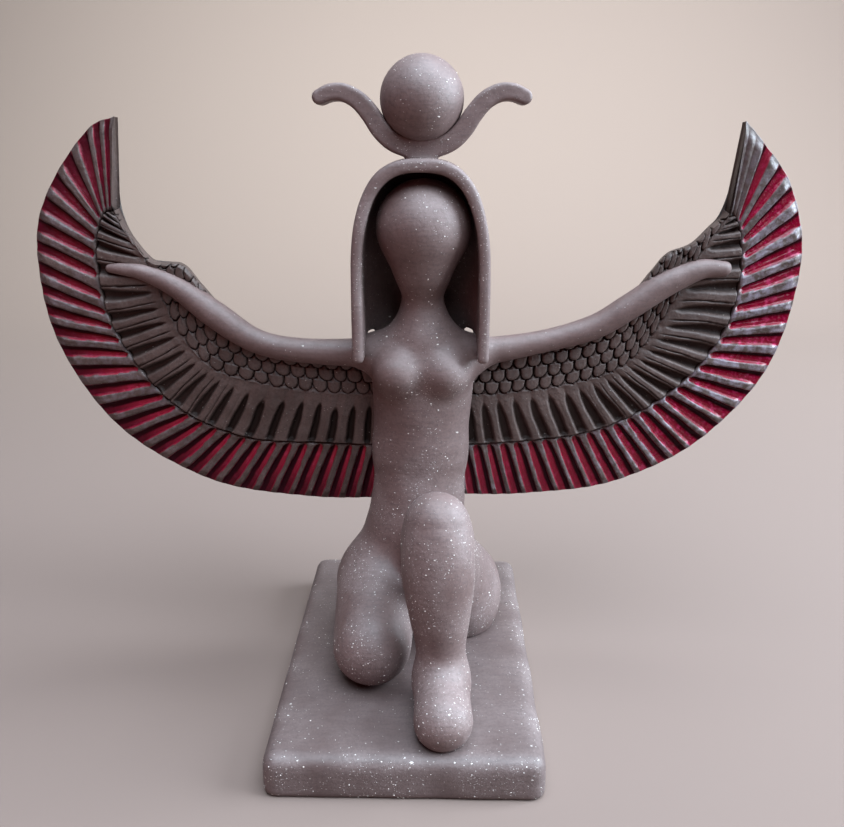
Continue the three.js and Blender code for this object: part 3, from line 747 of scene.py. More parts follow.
@dataclass(frozen=True)
class Swell:
    """An egg-shaped swelling."""

    centre: Vec
    radii: Vec
    blend: float = 0.0

    def near(self, points: Points, room: float) -> np.ndarray:
        """Which points lie in the swelling's box and the room around it."""
        reach = np.array(self.radii) + self.blend + room
        return np.all(np.abs(points - np.array(self.centre)) < reach, axis=1)

    def distance(self, points: Points) -> np.ndarray:
        """Distances to the swelling's skin, below 0 inside.

        Args:
            points: Places in millimetres.

        Returns:
            One distance for each place.
        """
        reach = (points - np.array(self.centre)) / np.array(self.radii)
        size = np.linalg.norm(reach, axis=1)
        steep = np.linalg.norm(reach / np.array(self.radii), axis=1)
        return size * (size - 1) / np.maximum(steep, 1e-9)


class Limb:
    """A shin or an arm: a chain of short bars along a smooth line, run into the trunk in one piece."""

    def __init__(self, stations: Sequence[Sequence[float]], blend: float = 5.0, steps: int = 8) -> None:
        """Lays the bars.

        Args:
            stations: Places along the limb, each with its radius.
            blend: How far the join with the trunk reaches.
            steps: Bars between two places.
        """
        line = smooth_path(stations, steps)
        self.blend = blend
        self.bars = [TaperedBar(tuple(a[:3]), tuple(b[:3]), (a[3], b[3])) for a, b in zip(line, line[1:])]

    def near(self, points: Points, room: float) -> np.ndarray:
        """Which points lie close enough to any bar."""
        reach = self.blend + room
        return np.any([bar.near(points, reach) for bar in self.bars[::2]], axis=0)

    def distance(self, points: Points) -> np.ndarray:
        """Distances to the limb's skin, below 0 inside.

        Args:
            points: Places in millimetres.

        Returns:
            One distance for each place.
        """
        best = np.full(len(points), FAR)
        for bar in self.bars:
            close = bar.near(points, 3.0)
            best[close] = np.minimum(best[close], bar.distance(points[close]))
        rest = best > 0.9 * FAR
        if np.any(rest):
            centres = np.array([bar.start for bar in self.bars] + [self.bars[-1].end])
            radii = np.array([bar.radii[0] for bar in self.bars] + [self.bars[-1].radii[1]])
            away = np.linalg.norm(points[rest][:, None] - centres[None], axis=2) - radii
            best[rest] = away.min(axis=1)
        return best


def surface_of(distance: Distance, low: Vec, high: Vec, cell: float) -> tuple[np.ndarray, np.ndarray]:
    """The skin of a form as quads, with every corner settled on the skin.

    Args:
        distance: The form.
        low: Lowest corner of the box that holds it.
        high: Highest corner.
        cell: The width of a quad.

    Returns:
        The corners and the quads.
    """
    block, margin = 4, 1.6
    probe, rounds, stride, flattest = 0.05, 3, 0.7, 0.05
    origin = np.array(low, float)
    blocks = np.ceil((np.array(high) - origin) / (cell * block)).astype(int) + 1
    grid = np.stack(np.meshgrid(*[np.arange(n) for n in blocks], indexing="ij"), -1).reshape(-1, 3)
    middles = origin + (grid * block + (block - 1) / 2) * cell
    rough = distance(middles).reshape(blocks)
    values = rough.repeat(block, 0).repeat(block, 1).repeat(block, 2)
    close = np.abs(rough) < cell * block * margin
    fine = np.argwhere(close.repeat(block, 0).repeat(block, 1).repeat(block, 2))
    values[tuple(fine.T)] = distance(origin + fine * cell)
    inside = values < 0

    corners = np.array([[i & 1, (i >> 1) & 1, (i >> 2) & 1] for i in range(8)])
    counts = sum(
        inside[a:inside.shape[0] - 1 + a, b:inside.shape[1] - 1 + b, c:inside.shape[2] - 1 + c].astype(np.int8)
        for a, b, c in corners
    )
    cells = np.argwhere((counts > 0) & (counts < 8))
    around = np.stack([values[tuple((cells + corner).T)] for corner in corners], 1)
    total = np.zeros((len(cells), 3))
    crossings = np.zeros(len(cells))
    for a in range(8):
        for axis in range(3):
            b = a | (1 << axis)
            if b == a:
                continue
            cut = (around[:, a] < 0) != (around[:, b] < 0)
            share = np.where(cut, around[:, a] / np.where(cut, around[:, a] - around[:, b], 1), 0)
            total += cut[:, None] * (corners[a] + share[:, None] * (corners[b] - corners[a]))
            crossings += cut
    spots = origin + (cells + total / crossings[:, None]) * cell

    index = -np.ones(counts.shape, int)
    index[tuple(cells.T)] = np.arange(len(cells))
    quads = []
    for axis in range(3):
        u, v = (axis + 1) % 3, (axis + 2) % 3
        step = np.eye(3, dtype=int)
        first = np.take(inside, range(inside.shape[axis] - 1), axis)
        second = np.take(inside, range(1, inside.shape[axis]), axis)
        crossed = np.argwhere(first != second)
        crossed = crossed[np.all(crossed[:, [u, v]] > 0, axis=1)]
        crossed = crossed[np.all(crossed < np.array(counts.shape), axis=1)]
        ring = [crossed - step[u] - step[v], crossed - step[v], crossed, crossed - step[u]]
        quad = np.stack([index[tuple(place.T)] for place in ring], 1)
        outward = inside[tuple(crossed.T)]
        quads.append(np.where(outward[:, None], quad, quad[:, ::-1]))

    for _ in range(rounds):
        here = distance(spots)
        slope = np.stack([(distance(spots + probe * np.eye(3)[axis]) - here) / probe for axis in range(3)], 1)
        steep = np.maximum(np.einsum("ij,ij->i", slope, slope), flattest)
        shift = slope * (here / steep)[:, None]
        size = np.linalg.norm(shift, axis=1)
        spots -= shift * np.minimum(1, stride * cell / np.maximum(size, 1e-9))[:, None]
    return spots, np.concatenate(quads)


def placed(name: str, data: bpy.types.ID) -> bpy.types.Object:
    """A new object at the origin, linked to the scene.

    Args:
        name: Its name.
        data: Its mesh, light or camera.

    Returns:
        The object.
    """
    made = bpy.data.objects.new(name, data)
    bpy.context.scene.collection.objects.link(made)
    return made


def piece(name: str, points: np.ndarray, faces: np.ndarray, finish: bpy.types.Material) -> bpy.types.Object:
    """A mesh object at the origin, from places in millimetres.

    Args:
        name: The object's name.
        points: The corners.
        faces: The faces' corners.
        finish: The material.

    Returns:
        The object.
    """
    mesh = bpy.data.meshes.new(name)
    mesh.from_pydata((points * MM).tolist(), [], faces.tolist())
    mesh.materials.append(finish)
    mesh.shade_smooth()
    return placed(name, mesh)


def clump(points: Points) -> np.ndarray:
    """Where grit lies thicker, in patches of about a centimetre.

    Args:
        points: Places in millimetres.

    Returns:
        From 0 to 1 for each place.
    """
    x, y, z = (points / 5.2).T
    wave = np.sin(x * 1.7 + 1.3 * np.sin(z * 0.9)) + np.sin(z * 1.5 + 1.1 * np.sin(y * 1.2 + 2.0))
    wave = wave + np.sin(y * 1.3 + x * 0.8)
    return np.clip(0.45 + wave * 0.3, 0, 1)


def wear(made: bpy.types.Object, grit: Callable[[Points], np.ndarray]) -> bpy.types.Object:
    """Stores how much grit shows, from 0 to 1, on a member's points.

    Args:
        made: The member.
        grit: Gives the share of grit for places in millimetres.

    Returns:
        The member.
    """
    mesh = made.data
    flat = np.empty(len(mesh.vertices) * 3, np.float32)
    mesh.vertices.foreach_get("co", flat)
    points = flat.reshape(-1, 3).astype(float) / MM
    layer = mesh.attributes.new("grit", "FLOAT", "POINT")
    share = np.clip(grit(points) * (0.25 + 1.3 * clump(points)), 0, 1)
    layer.data.foreach_set("value", share.astype(np.float32))
    return made


def ramp(values: np.ndarray, low: float, high: float) -> np.ndarray:
    """Rises softly from 0 at low to 1 at high."""
    share = np.clip((values - low) / (high - low), 0, 1)
    return share * share * (3 - 2 * share)


def settle(made: bpy.types.Object, slot: str, *nodes: str) -> bpy.types.Object:
    """Hides the solids that a piece stands for, hangs it on its body and logs its triangle count.

    Args:
        made: The piece.
        slot: Not used.
        nodes: The solids that it replaces.

    Returns:
        The piece.
    """
    if nodes:
        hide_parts(*nodes)
    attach(made, BODY)
    made.data.calc_loop_triangles()
    LOG.info("%s: %d triangles", made.name, len(made.data.loop_triangles))
    return made


def member(
    name: str, node: str, distance: Distance, box: tuple[Vec, Vec], cell: float, finish: bpy.types.Material,
    grit: Callable[[Points], np.ndarray], forward: float = FORWARD,
) -> bpy.types.Object:
    """A stoneware member from its form.

    Args:
        name: The piece's name.
        node: The solid that it replaces.
        distance: The form.
        box: The lowest and highest corner of the box that holds it.
        cell: The width of a quad.
        finish: The clay.
        grit: Gives the share of grit for places in millimetres.
        forward: How far it is moved towards the viewer.

    Returns:
        The piece.
    """
    points, faces = surface_of(distance, *box, cell)
    points[:, 1] -= forward
    return settle(wear(piece(name, points, faces, finish), grit), CLAY_SLOT, node)


def smooth_path(points: Sequence[Sequence[float]], steps: int) -> np.ndarray:
    """A smooth line through places.

    Args:
        points: The places, each with any number of values.
        steps: Stretches between two places.

    Returns:
        The line's places.
    """
    line = np.array(points, float)
    ends = np.vstack([2 * line[0] - line[1], line, 2 * line[-1] - line[-2]])
    made = []
    for turn in range(len(line) - 1):
        a, b, c, d = ends[turn:turn + 4]
        for share in np.arange(steps) / steps:
            made.append(0.5 * (2 * b + (c - a) * share + (2 * a - 5 * b + 4 * c - d) * share ** 2
                               + (3 * b - a - 3 * c + d) * share ** 3))
    return np.vstack([made, line[-1:]])


@dataclass
class Figure:
    """The kneeling body with its outspread arms, modelled in one piece of clay."""

    cell: float = 0.98
    plinth_top: float = 15.0
    limbs: tuple[TaperedBar, ...] = (
        TaperedBar((4.8, 14, 120), (3.8, 14, 90), (18.9, 17.3), 0.62, 0),
        TaperedBar((3.8, 14, 90), (3.2, 14, 72), (17.2, 16.8), 0.64, 3),
        TaperedBar((3.2, 14, 72), (0.5, 15, 47), (16.7, 21.3), 0.78, 3),
        TaperedBar((-11, 15, 127.6), (4.8, 14, 130.5), (7.6, 9.8), 1, 4),
        TaperedBar((20.5, 15, 127), (4.8, 14, 130.5), (7.6, 9.8), 1, 4),
        TaperedBar((4.8, 14, 137), (4.6, 12.5, 156), (7.6, 7.1), 1, 9),
        TaperedBar((5.0, 10, 172.6), (4.8, 9.5, 161), (16.4, 10.9), 0.94, 6),
        TaperedBar((-12.8, 11, 37), (-13, -21.2, 28), (16, 14.2), 1, 7),
        TaperedBar((-12.5, -17, 27), (-10, 34, 24), (11.5, 8), 1, 4),
        TaperedBar((-10, 35, 25), (-9.5, 49, 20.5), (8.5, 6.4), 1, 3),
        TaperedBar((13, 9, 43), (10.4, -24, 74), (15, 11.2), 1, 7),
        TaperedBar((12, -36.5, 25), (12.6, -53, 21.5), (9.2, 9.9), 1, 3),
    )
    swells: tuple[Swell, ...] = (
        Swell((-11.5, 18, 27), (17, 19, 22), 7),
        Swell((19.5, 18, 27), (17, 19, 22), 7),
        Swell((-4.2, 5.3, 122.6), (8.2, 8.0, 7.8), 5),
        Swell((13.2, 5.3, 122.6), (8.2, 8.0, 7.8), 5),
    )
    hollows: tuple[TaperedBar, ...] = (
        TaperedBar((4.2, 28.6, 118), (3.2, 28.4, 76), (3.2, 3.4), 1, 5),
        TaperedBar((3.6, 38, 46), (4.0, 40, 26), (3.4, 5.0), 1, 6),
    )
    shin: tuple = (
        (10.2, -29.6, 80.6, 11.0), (10.4, -31.2, 74, 12.1), (10.8, -32.6, 63, 12.4), (11.3, -33.4, 50, 10.6),
        (11.7, -34.2, 37, 8.7), (12, -36.5, 25, 9.2),
    )
    right_arm: tuple = (
        (-11, 15.5, 127.3, 5.6), (-38, 16.5, 127.6, 4.7), (-56, 17, 131, 4.6), (-70.5, 17, 140.6, 5.1),
        (-83.5, 17, 150.6, 4.1), (-94.5, 17.0, 155.8, 3.1), (-102, 17.0, 157.2, 2.5), (-107, 17.2, 157.5, 1.8),
    )
    left_arm: tuple = (
        (20.5, 15.5, 126.8, 5.6), (46.5, 16.5, 131.2, 4.3), (66, 17, 136.6, 4.6), (78.5, 17, 144.2, 4.8),
        (90.5, 17, 152.3, 4.7), (102, 16.9, 157.6, 3.8), (110.5, 16.9, 158, 2.9),
    )
    low: Vec = (-112, -70, 8)
    high: Vec = (122, 62, 196)
    forms: list = field(default_factory=list)

    def __post_init__(self) -> None:
        """Puts the forms in the order in which they are joined."""
        self.forms = [*self.limbs, Limb(self.shin), *self.swells, Limb(self.right_arm), Limb(self.left_arm)]

    def distance(self, points: Points) -> np.ndarray:
        """Distances to the whole body's skin.

        Args:
            points: Places in millimetres.

        Returns:
            One distance for each place.
        """
        room = 9.0
        result = np.full(len(points), FAR)
        for form in self.forms:
            near = form.near(points, room)
            result[near] = soft_union(result[near], form.distance(points[near]), form.blend)
        for hollow in self.hollows:
            near = hollow.near(points, room)
            result[near] = soft_cut(result[near], -hollow.distance(points[near]), hollow.blend)
        result = result + hand_marks(points, 0.3, 15.0)
        return soft_cut(result, self.plinth_top - 0.25 - points[:, 2], 0.8)

    def build(self, finish: bpy.types.Material) -> bpy.types.Object:
        """The body as a piece.

        Args:
            finish: The clay.

        Returns:
            The piece.
        """
        box = (self.low, self.high)
        return member("kneeling_figure", "figure", self.distance, box, self.cell, finish, self.grit)

    def grit(self, points: Points) -> np.ndarray:
        """How much grit shows: most on the legs and feet, some on the trunk, next to none on the arms.

        Args:
            points: Places in millimetres.

        Returns:
            The share of grit for each place.
        """
        x, y, z = points.T
        legs = 1.0 - ramp(z, 82, 100)
        bust = np.exp(-((z - 119) / 6.5) ** 2) * (1 - ramp(y, 2, 8))
        head = 0.45 * ramp(z, 158, 168)
        trunk = np.maximum(np.maximum(legs, bust * 1.4), np.maximum(head, 0.3))
        return trunk * (1 - ramp(np.abs(x - 4.5), 22, 34) * ramp(z, 95, 105) * 0.95)


@dataclass
class Wig:
    """The hood wig: a vault with a round back, one slab of clay thick, with softened rims."""

    axis: float = 4.2
    bend: float = 12.0
    front: float = -2.0
    nape: float = 121.0
    foot: float = 127.5
    over_wings: float = 132.6
    wing_room: tuple[float, float] = (15.1, 24.8)
    outside: tuple[float, float] = (23.6, 22.0)
    inside: tuple[float, float] = (19.7, 18.0)
    spring: float = 150.0
    rises: tuple[float, float] = (45.3, 40.8)
    power: float = 2.8
    edge: float = 1.4
    gaps: tuple[Swell, ...] = (
        Swell((21.8, 23, 133.7), (1.9, 7, 1.6)),
        Swell((-14.8, 22, 133.8), (1.7, 7, 1.4)),
    )
    cell: float = 0.95

    def vault(self, points: Points, half: tuple[float, float], rise: float) -> np.ndarray:
        """Distances to one vault's skin.

        Args:
            points: Places in millimetres.
            half: Half its width, and the depth of its round back.
            rise: From the spring of the arch to the crown.

        Returns:
            One distance for each place.
        """
        def level(x: np.ndarray, y: np.ndarray, z: np.ndarray) -> np.ndarray:
            """How far out a place is.

            Args:
                x: To the viewer's right.
                y: Backwards.
                z: Upwards.

            Returns:
                0 on the skin, rising outwards.
            """
            across = np.hypot((x - self.axis) / half[0], np.maximum(y - self.bend, 0) / half[1])
            up = np.maximum(z - self.spring, 0) / rise
            return (across ** self.power + up ** self.power) ** (1 / self.power) - 1

        x, y, z = points.T
        here = level(x, y, z)
        step, flattest = 0.1, 0.012
        rises = (level(x + step, y, z) - here, level(x, y + step, z) - here, level(x, y, z + step) - here)
        slope = np.sqrt(sum(rise ** 2 for rise in rises)) / step
        return here / np.maximum(slope, flattest)

    def distance(self, points: Points) -> np.ndarray:
        """Distances to the wig's skin.

        Args:
            points: Places in millimetres.

        Returns:
            One distance for each place.
        """
        _, y, z = points.T
        shell = soft_cut(self.vault(points, self.outside, self.rises[0]),
                         -self.vault(points, self.inside, self.rises[1]), 0.4)
        shell = soft_cut(shell, self.front - y, self.edge)
        shell = soft_cut(shell, self.nape - z, self.edge)
        lappets = np.maximum(z - self.foot, y - self.wing_room[1])
        room = np.maximum(np.maximum(z - self.over_wings, self.wing_room[0] - y), y - self.wing_room[1])
        shell = soft_cut(shell, -lappets, self.edge)
        shell = soft_cut(shell, -room, self.edge * 0.5)
        for gap in self.gaps:
            shell = soft_cut(shell, -gap.distance(points), 0.4)
        return shell + hand_marks(points, 0.2, 8.0)

    def build(self, finish: bpy.types.Material) -> bpy.types.Object:
        """The wig as a piece.

        Args:
            finish: The clay.

        Returns:
            The piece.
        """
        room = 2
        half = self.outside[0] + room
        box = (
            (self.axis - half, self.front - room, self.nape - room),
            (self.axis + half, self.bend + half, self.spring + self.rises[0] + room),
        )
        return member("hood_wig", "wig", self.distance, box, self.cell, finish, self.grit)

    def grit(self, points: Points) -> np.ndarray:
        """How much grit shows: more on the front rims than behind."""
        return 0.75 - 0.5 * ramp(points[:, 1], 2, 8)


@dataclass
class Horns:
    """The horns: a strap of clay bent to a bowl with turned-out tips, luted to the crown of the wig."""

    axis: float = 4.5
    middle_y: float = 9.0
    depth: float = 9.5
    thickness: float = 6.3
    tip_thickness: float = 4.8
    edge: float = 1.1
    cell: float = 0.75
    half: tuple = (
        (0, 198), (5, 198.6), (9.8, 200.6), (13.6, 204.2), (16.6, 208.6), (20.4, 212.8), (25, 215.1),
        (29.2, 215.2), (32.8, 213.8),
    )
    wig: Wig = field(default_factory=Wig)

    def strap(self, points: Points) -> np.ndarray:
        """Distances to the strap alone.

        Args:
            points: Places in millimetres.

        Returns:
            One distance for each place.
        """
        line = smooth_path([(-x, z) for x, z in self.half[:0:-1]] + list(self.half), 6)
        share = np.linspace(-1, 1, len(line))
        flat = points[:, [0, 2]] - np.array([self.axis, 0])
        best = np.full(len(points), FAR)
        for turn, (a, b) in enumerate(zip(line, line[1:])):
            along = b - a
            reach = flat - a
            part = np.clip(reach @ along / (along @ along), 0, 1)
            tip = np.abs(share[turn]) ** 3
            width = self.thickness + (self.tip_thickness - self.thickness) * tip
            gap = np.linalg.norm(reach - part[:, None] * along, axis=1) - width / 2
            best = np.minimum(best, gap)
        deep = np.abs(points[:, 1] - self.middle_y) - self.depth / 2
        flat_edge, deep_edge = best + self.edge, deep + self.edge
        outside = np.hypot(np.maximum(flat_edge, 0), np.maximum(deep_edge, 0))
        return outside + np.minimum(np.maximum(flat_edge, deep_edge), 0) - self.edge

    def distance(self, points: Points) -> np.ndarray:
        """Distances to the strap with its fillet of slip on the wig's crown.

        Args:
            points: Places in millimetres.

        Returns:
            One distance for each place.
        """
        strap = self.strap(points)
        crown = self.wig.vault(points, self.wig.outside, self.wig.rises[0]) + 0.3
        joined = soft_union(strap, crown, 1.6)
        skirt = np.maximum(joined, strap - 1.0)
        return np.maximum(np.minimum(strap, skirt), -crown - 0.6) + hand_marks(points, 0.12, 6.0)

    def build(self, finish: bpy.types.Material) -> bpy.types.Object:
        """The horns as a piece.

        Args:
            finish: The clay.

        Returns:
            The piece.
        """
        reach, deep = 40, self.depth / 2
        box = (
            (self.axis - reach, self.middle_y - deep - 5, 190),
            (self.axis + reach, self.middle_y + deep + 5, 221),
        )
        return member("strap_horns", "horns", self.distance, box, self.cell, finish, self.grit)

    def grit(self, points: Points) -> np.ndarray:
        """How much grit shows: the same all over."""
        return np.full(len(points), 0.55)


@dataclass
class SunBall:
    """The ball of clay that stands for the sun, rolled between two hands."""

    centre: Vec = (4.5, 9.0, 213.3)
    radius: float = 13.7
    cell: float = 0.8

    def distance(self, points: Points) -> np.ndarray:
        """Distances to the ball's skin."""
        away = np.linalg.norm(points - np.array(self.centre), axis=1)
        return away - self.radius + hand_marks(points, 0.25, 9.0)

    def build(self, finish: bpy.types.Material) -> bpy.types.Object:
        """The ball as a piece.

        Args:
            finish: The clay.

        Returns:
            The piece.
        """
        reach = self.radius + 2
        box = (tuple(v - reach for v in self.centre), tuple(v + reach for v in self.centre))
        return member("sun_ball_clay", "sun_ball", self.distance, box, self.cell, finish, self.grit)

    def grit(self, points: Points) -> np.ndarray:
        """How much grit shows: the same all over."""
        return np.full(len(points), 0.32)


@dataclass
class Plinth:
    """The oblong plinth, a block of clay with soft edges."""

    width: float = 92.0
    length: float = 132.6
    height: float = 15.0
    corner: float = 5.0
    edge: float = 2.6
    foot: float = 1.0
    cell: float = 1.3

    def distance(self, points: Points) -> np.ndarray:
        """Distances to the plinth's skin.

        Args:
            points: Places in millimetres.

        Returns:
            One distance for each place.
        """
        x, y, z = points.T
        away = [np.abs(x) - self.width / 2 + self.corner, np.abs(y) - self.length / 2 + self.corner]
        plan = np.hypot(np.maximum(away[0], 0), np.maximum(away[1], 0))
        plan = plan + np.minimum(np.maximum(away[0], away[1]), 0) - self.corner
        plan = plan + hand_marks(points, 0.5, 12.0)
        top = z - self.height + hand_marks(points[:, [0, 1, 1]], 0.35, 14.0)
        block = soft_cut(plan, top, self.edge * 2)
        return soft_cut(block, -z, self.foot * 2)

    def build(self, finish: bpy.types.Material) -> bpy.types.Object:
        """The plinth as a piece.

        Args:
            finish: The clay.

        Returns:
            The piece.
        """
        room = 3
        across, along = self.width / 2 + room, self.length / 2 + room
        box = ((-across, -along, -room), (across, along, self.height + room))
        return member("clay_plinth", "plinth", self.distance, box, self.cell, finish, self.grit, forward=0.0)

    def grit(self, points: Points) -> np.ndarray:
        """How much grit shows: most on the sides and along the edges, little on the flat top.

        Args:
            points: Places in millimetres.

        Returns:
            The share of grit for each place.
        """
        x, y, z = points.T
        rim = np.minimum(self.width / 2 - np.abs(x), self.length / 2 - np.abs(y))
        sides = 1 - ramp(z, self.height - 2.5, self.height - 0.5)
        edges = 0.8 * (1 - ramp(rim, 2, 9))
        return 0.28 + 0.72 * np.maximum(sides, edges)


@dataclass(frozen=True)
class Station:
    """One line across a wing, at a feather, with its [x, z] at each border between two courses."""

    feather: float
    lead: tuple[float, float]
    scales: tuple[float, float]
    band: tuple[float, float]
    edge: tuple[float, float]


@dataclass(frozen=True)
class Carving:
    """How deeply and freely one wing is carved, in millimetres and shares of a feather's width; also its painted
    shade and highlight.
    """

    rib_lift: float
    groove_depth: float
    groove_half: float
    wall_shade_edge: float
    groove_wall: float
    plain_tip: float
    vane_lift: float
    wedge_depth: float
    wedge_half: float
    wedge_wall: float
    wedge_top: float
    scoop_half: float
    scoop_wall: float
    scoop_shade: float
    slot_shade: float
    shade_soft: float
    scoops_to: float
    open_tips: float
    scale_lift: float
    crack_depth: float
    crack_half: float
    scale_width: float
    scale_height: float
    grey_glaze_and_highlight: float
    red_fade: float
    tip_fade: float
    ridge: float


LEFT_CARVING = Carving(
    rib_lift=1.3, groove_depth=0.7, groove_half=0.23, wall_shade_edge=0.03, groove_wall=0.09, plain_tip=0.3,
    vane_lift=1.75, wedge_depth=2.0, wedge_half=0.14, wedge_wall=0.13, wedge_top=0.2,
    scoop_half=0.13, scoop_wall=0.16, scoop_shade=0.75, slot_shade=1.0, shade_soft=0.7,
    scoops_to=19.0, open_tips=17.0,
    scale_lift=0.5, crack_depth=0.95, crack_half=0.27, scale_width=5.3, scale_height=4.4,
    grey_glaze_and_highlight=0.25, red_fade=0.85, tip_fade=0.5, ridge=0.08,
)
RIGHT_CARVING = Carving(
    rib_lift=1.35, groove_depth=0.75, groove_half=0.26, wall_shade_edge=-0.04, groove_wall=0.1, plain_tip=1.8,
    vane_lift=1.95, wedge_depth=1.9, wedge_half=0.17, wedge_wall=0.2, wedge_top=0.1,
    scoop_half=0.16, scoop_wall=0.2, scoop_shade=0.82, slot_shade=0.85, shade_soft=0.95,
    scoops_to=19.0, open_tips=20.0,
    scale_lift=0.8, crack_depth=1.35, crack_half=0.42, scale_width=5.1, scale_height=4.5,
    grey_glaze_and_highlight=1.0, red_fade=0.38, tip_fade=0.1, ridge=0.3,
)

LEFT_STATIONS = (
    Station(0, (-102.8, 177.6), (-103.3, 177.3), (-104, 177.2), (-99.8, 208.4)),
    Station(2, (-101, 172.4), (-101.5, 173), (-106.5, 176.5), (-108.5, 205)),
    Station(4, (-98.2, 167), (-98.5, 168.5), (-108.5, 173), (-121, 191.5)),
    Station(6, (-92.3, 159.9), (-94, 160.5), (-111, 165), (-130, 176.5)),
    Station(9, (-81.5, 158.5), (-89.5, 147.5), (-110.5, 144), (-133.4, 154)),
    Station(12, (-75.5, 151.5), (-85, 135.5), (-105, 128.5), (-130.5, 131)),
    Station(16, (-68, 142.5), (-75, 122), (-90.5, 108), (-114.5, 100.5)),
    Station(21, (-54.5, 133.2), (-55.5, 115), (-66, 94.5), (-82, 77)),
    Station(27, (-27.5, 131.2), (-27, 111.5), (-31.5, 91.5), (-40.5, 68.5)),
    Station(33, (0.5, 131), (0.5, 110.5), (1.5, 91), (-2.5, 68.5)),
)
RIGHT_STATIONS = (
    Station(0, (110, 177), (110.4, 176.8), (111, 176.7), (112.7, 206.8)),
    Station(2, (107.5, 174), (108.5, 173), (113, 174.5), (118.5, 201)),
    Station(4, (105, 172), (104.5, 168), (115, 169), (129.5, 188)),
    Station(6, (99.5, 166.5), (99.5, 158.5), (116.5, 159), (136.5, 170.5)),
    Station(9, (91, 163), (91.5, 141.5), (115, 140.5), (137, 145)),
    Station(12, (86, 157), (85.5, 131), (107, 124.5), (131, 121)),
    Station(16, (78, 147), (76.5, 121.5), (92.5, 109.5), (111.5, 95)),
    Station(21, (61, 138.5), (59.5, 115.5), (69.5, 97.5), (81.5, 77)),
    Station(27, (33, 132), (32.5, 111.5), (37.5, 92.5), (44.5, 70.5)),
    Station(33, (7.5, 131), (7.5, 111), (7.5, 91), (10.5, 70)),
)


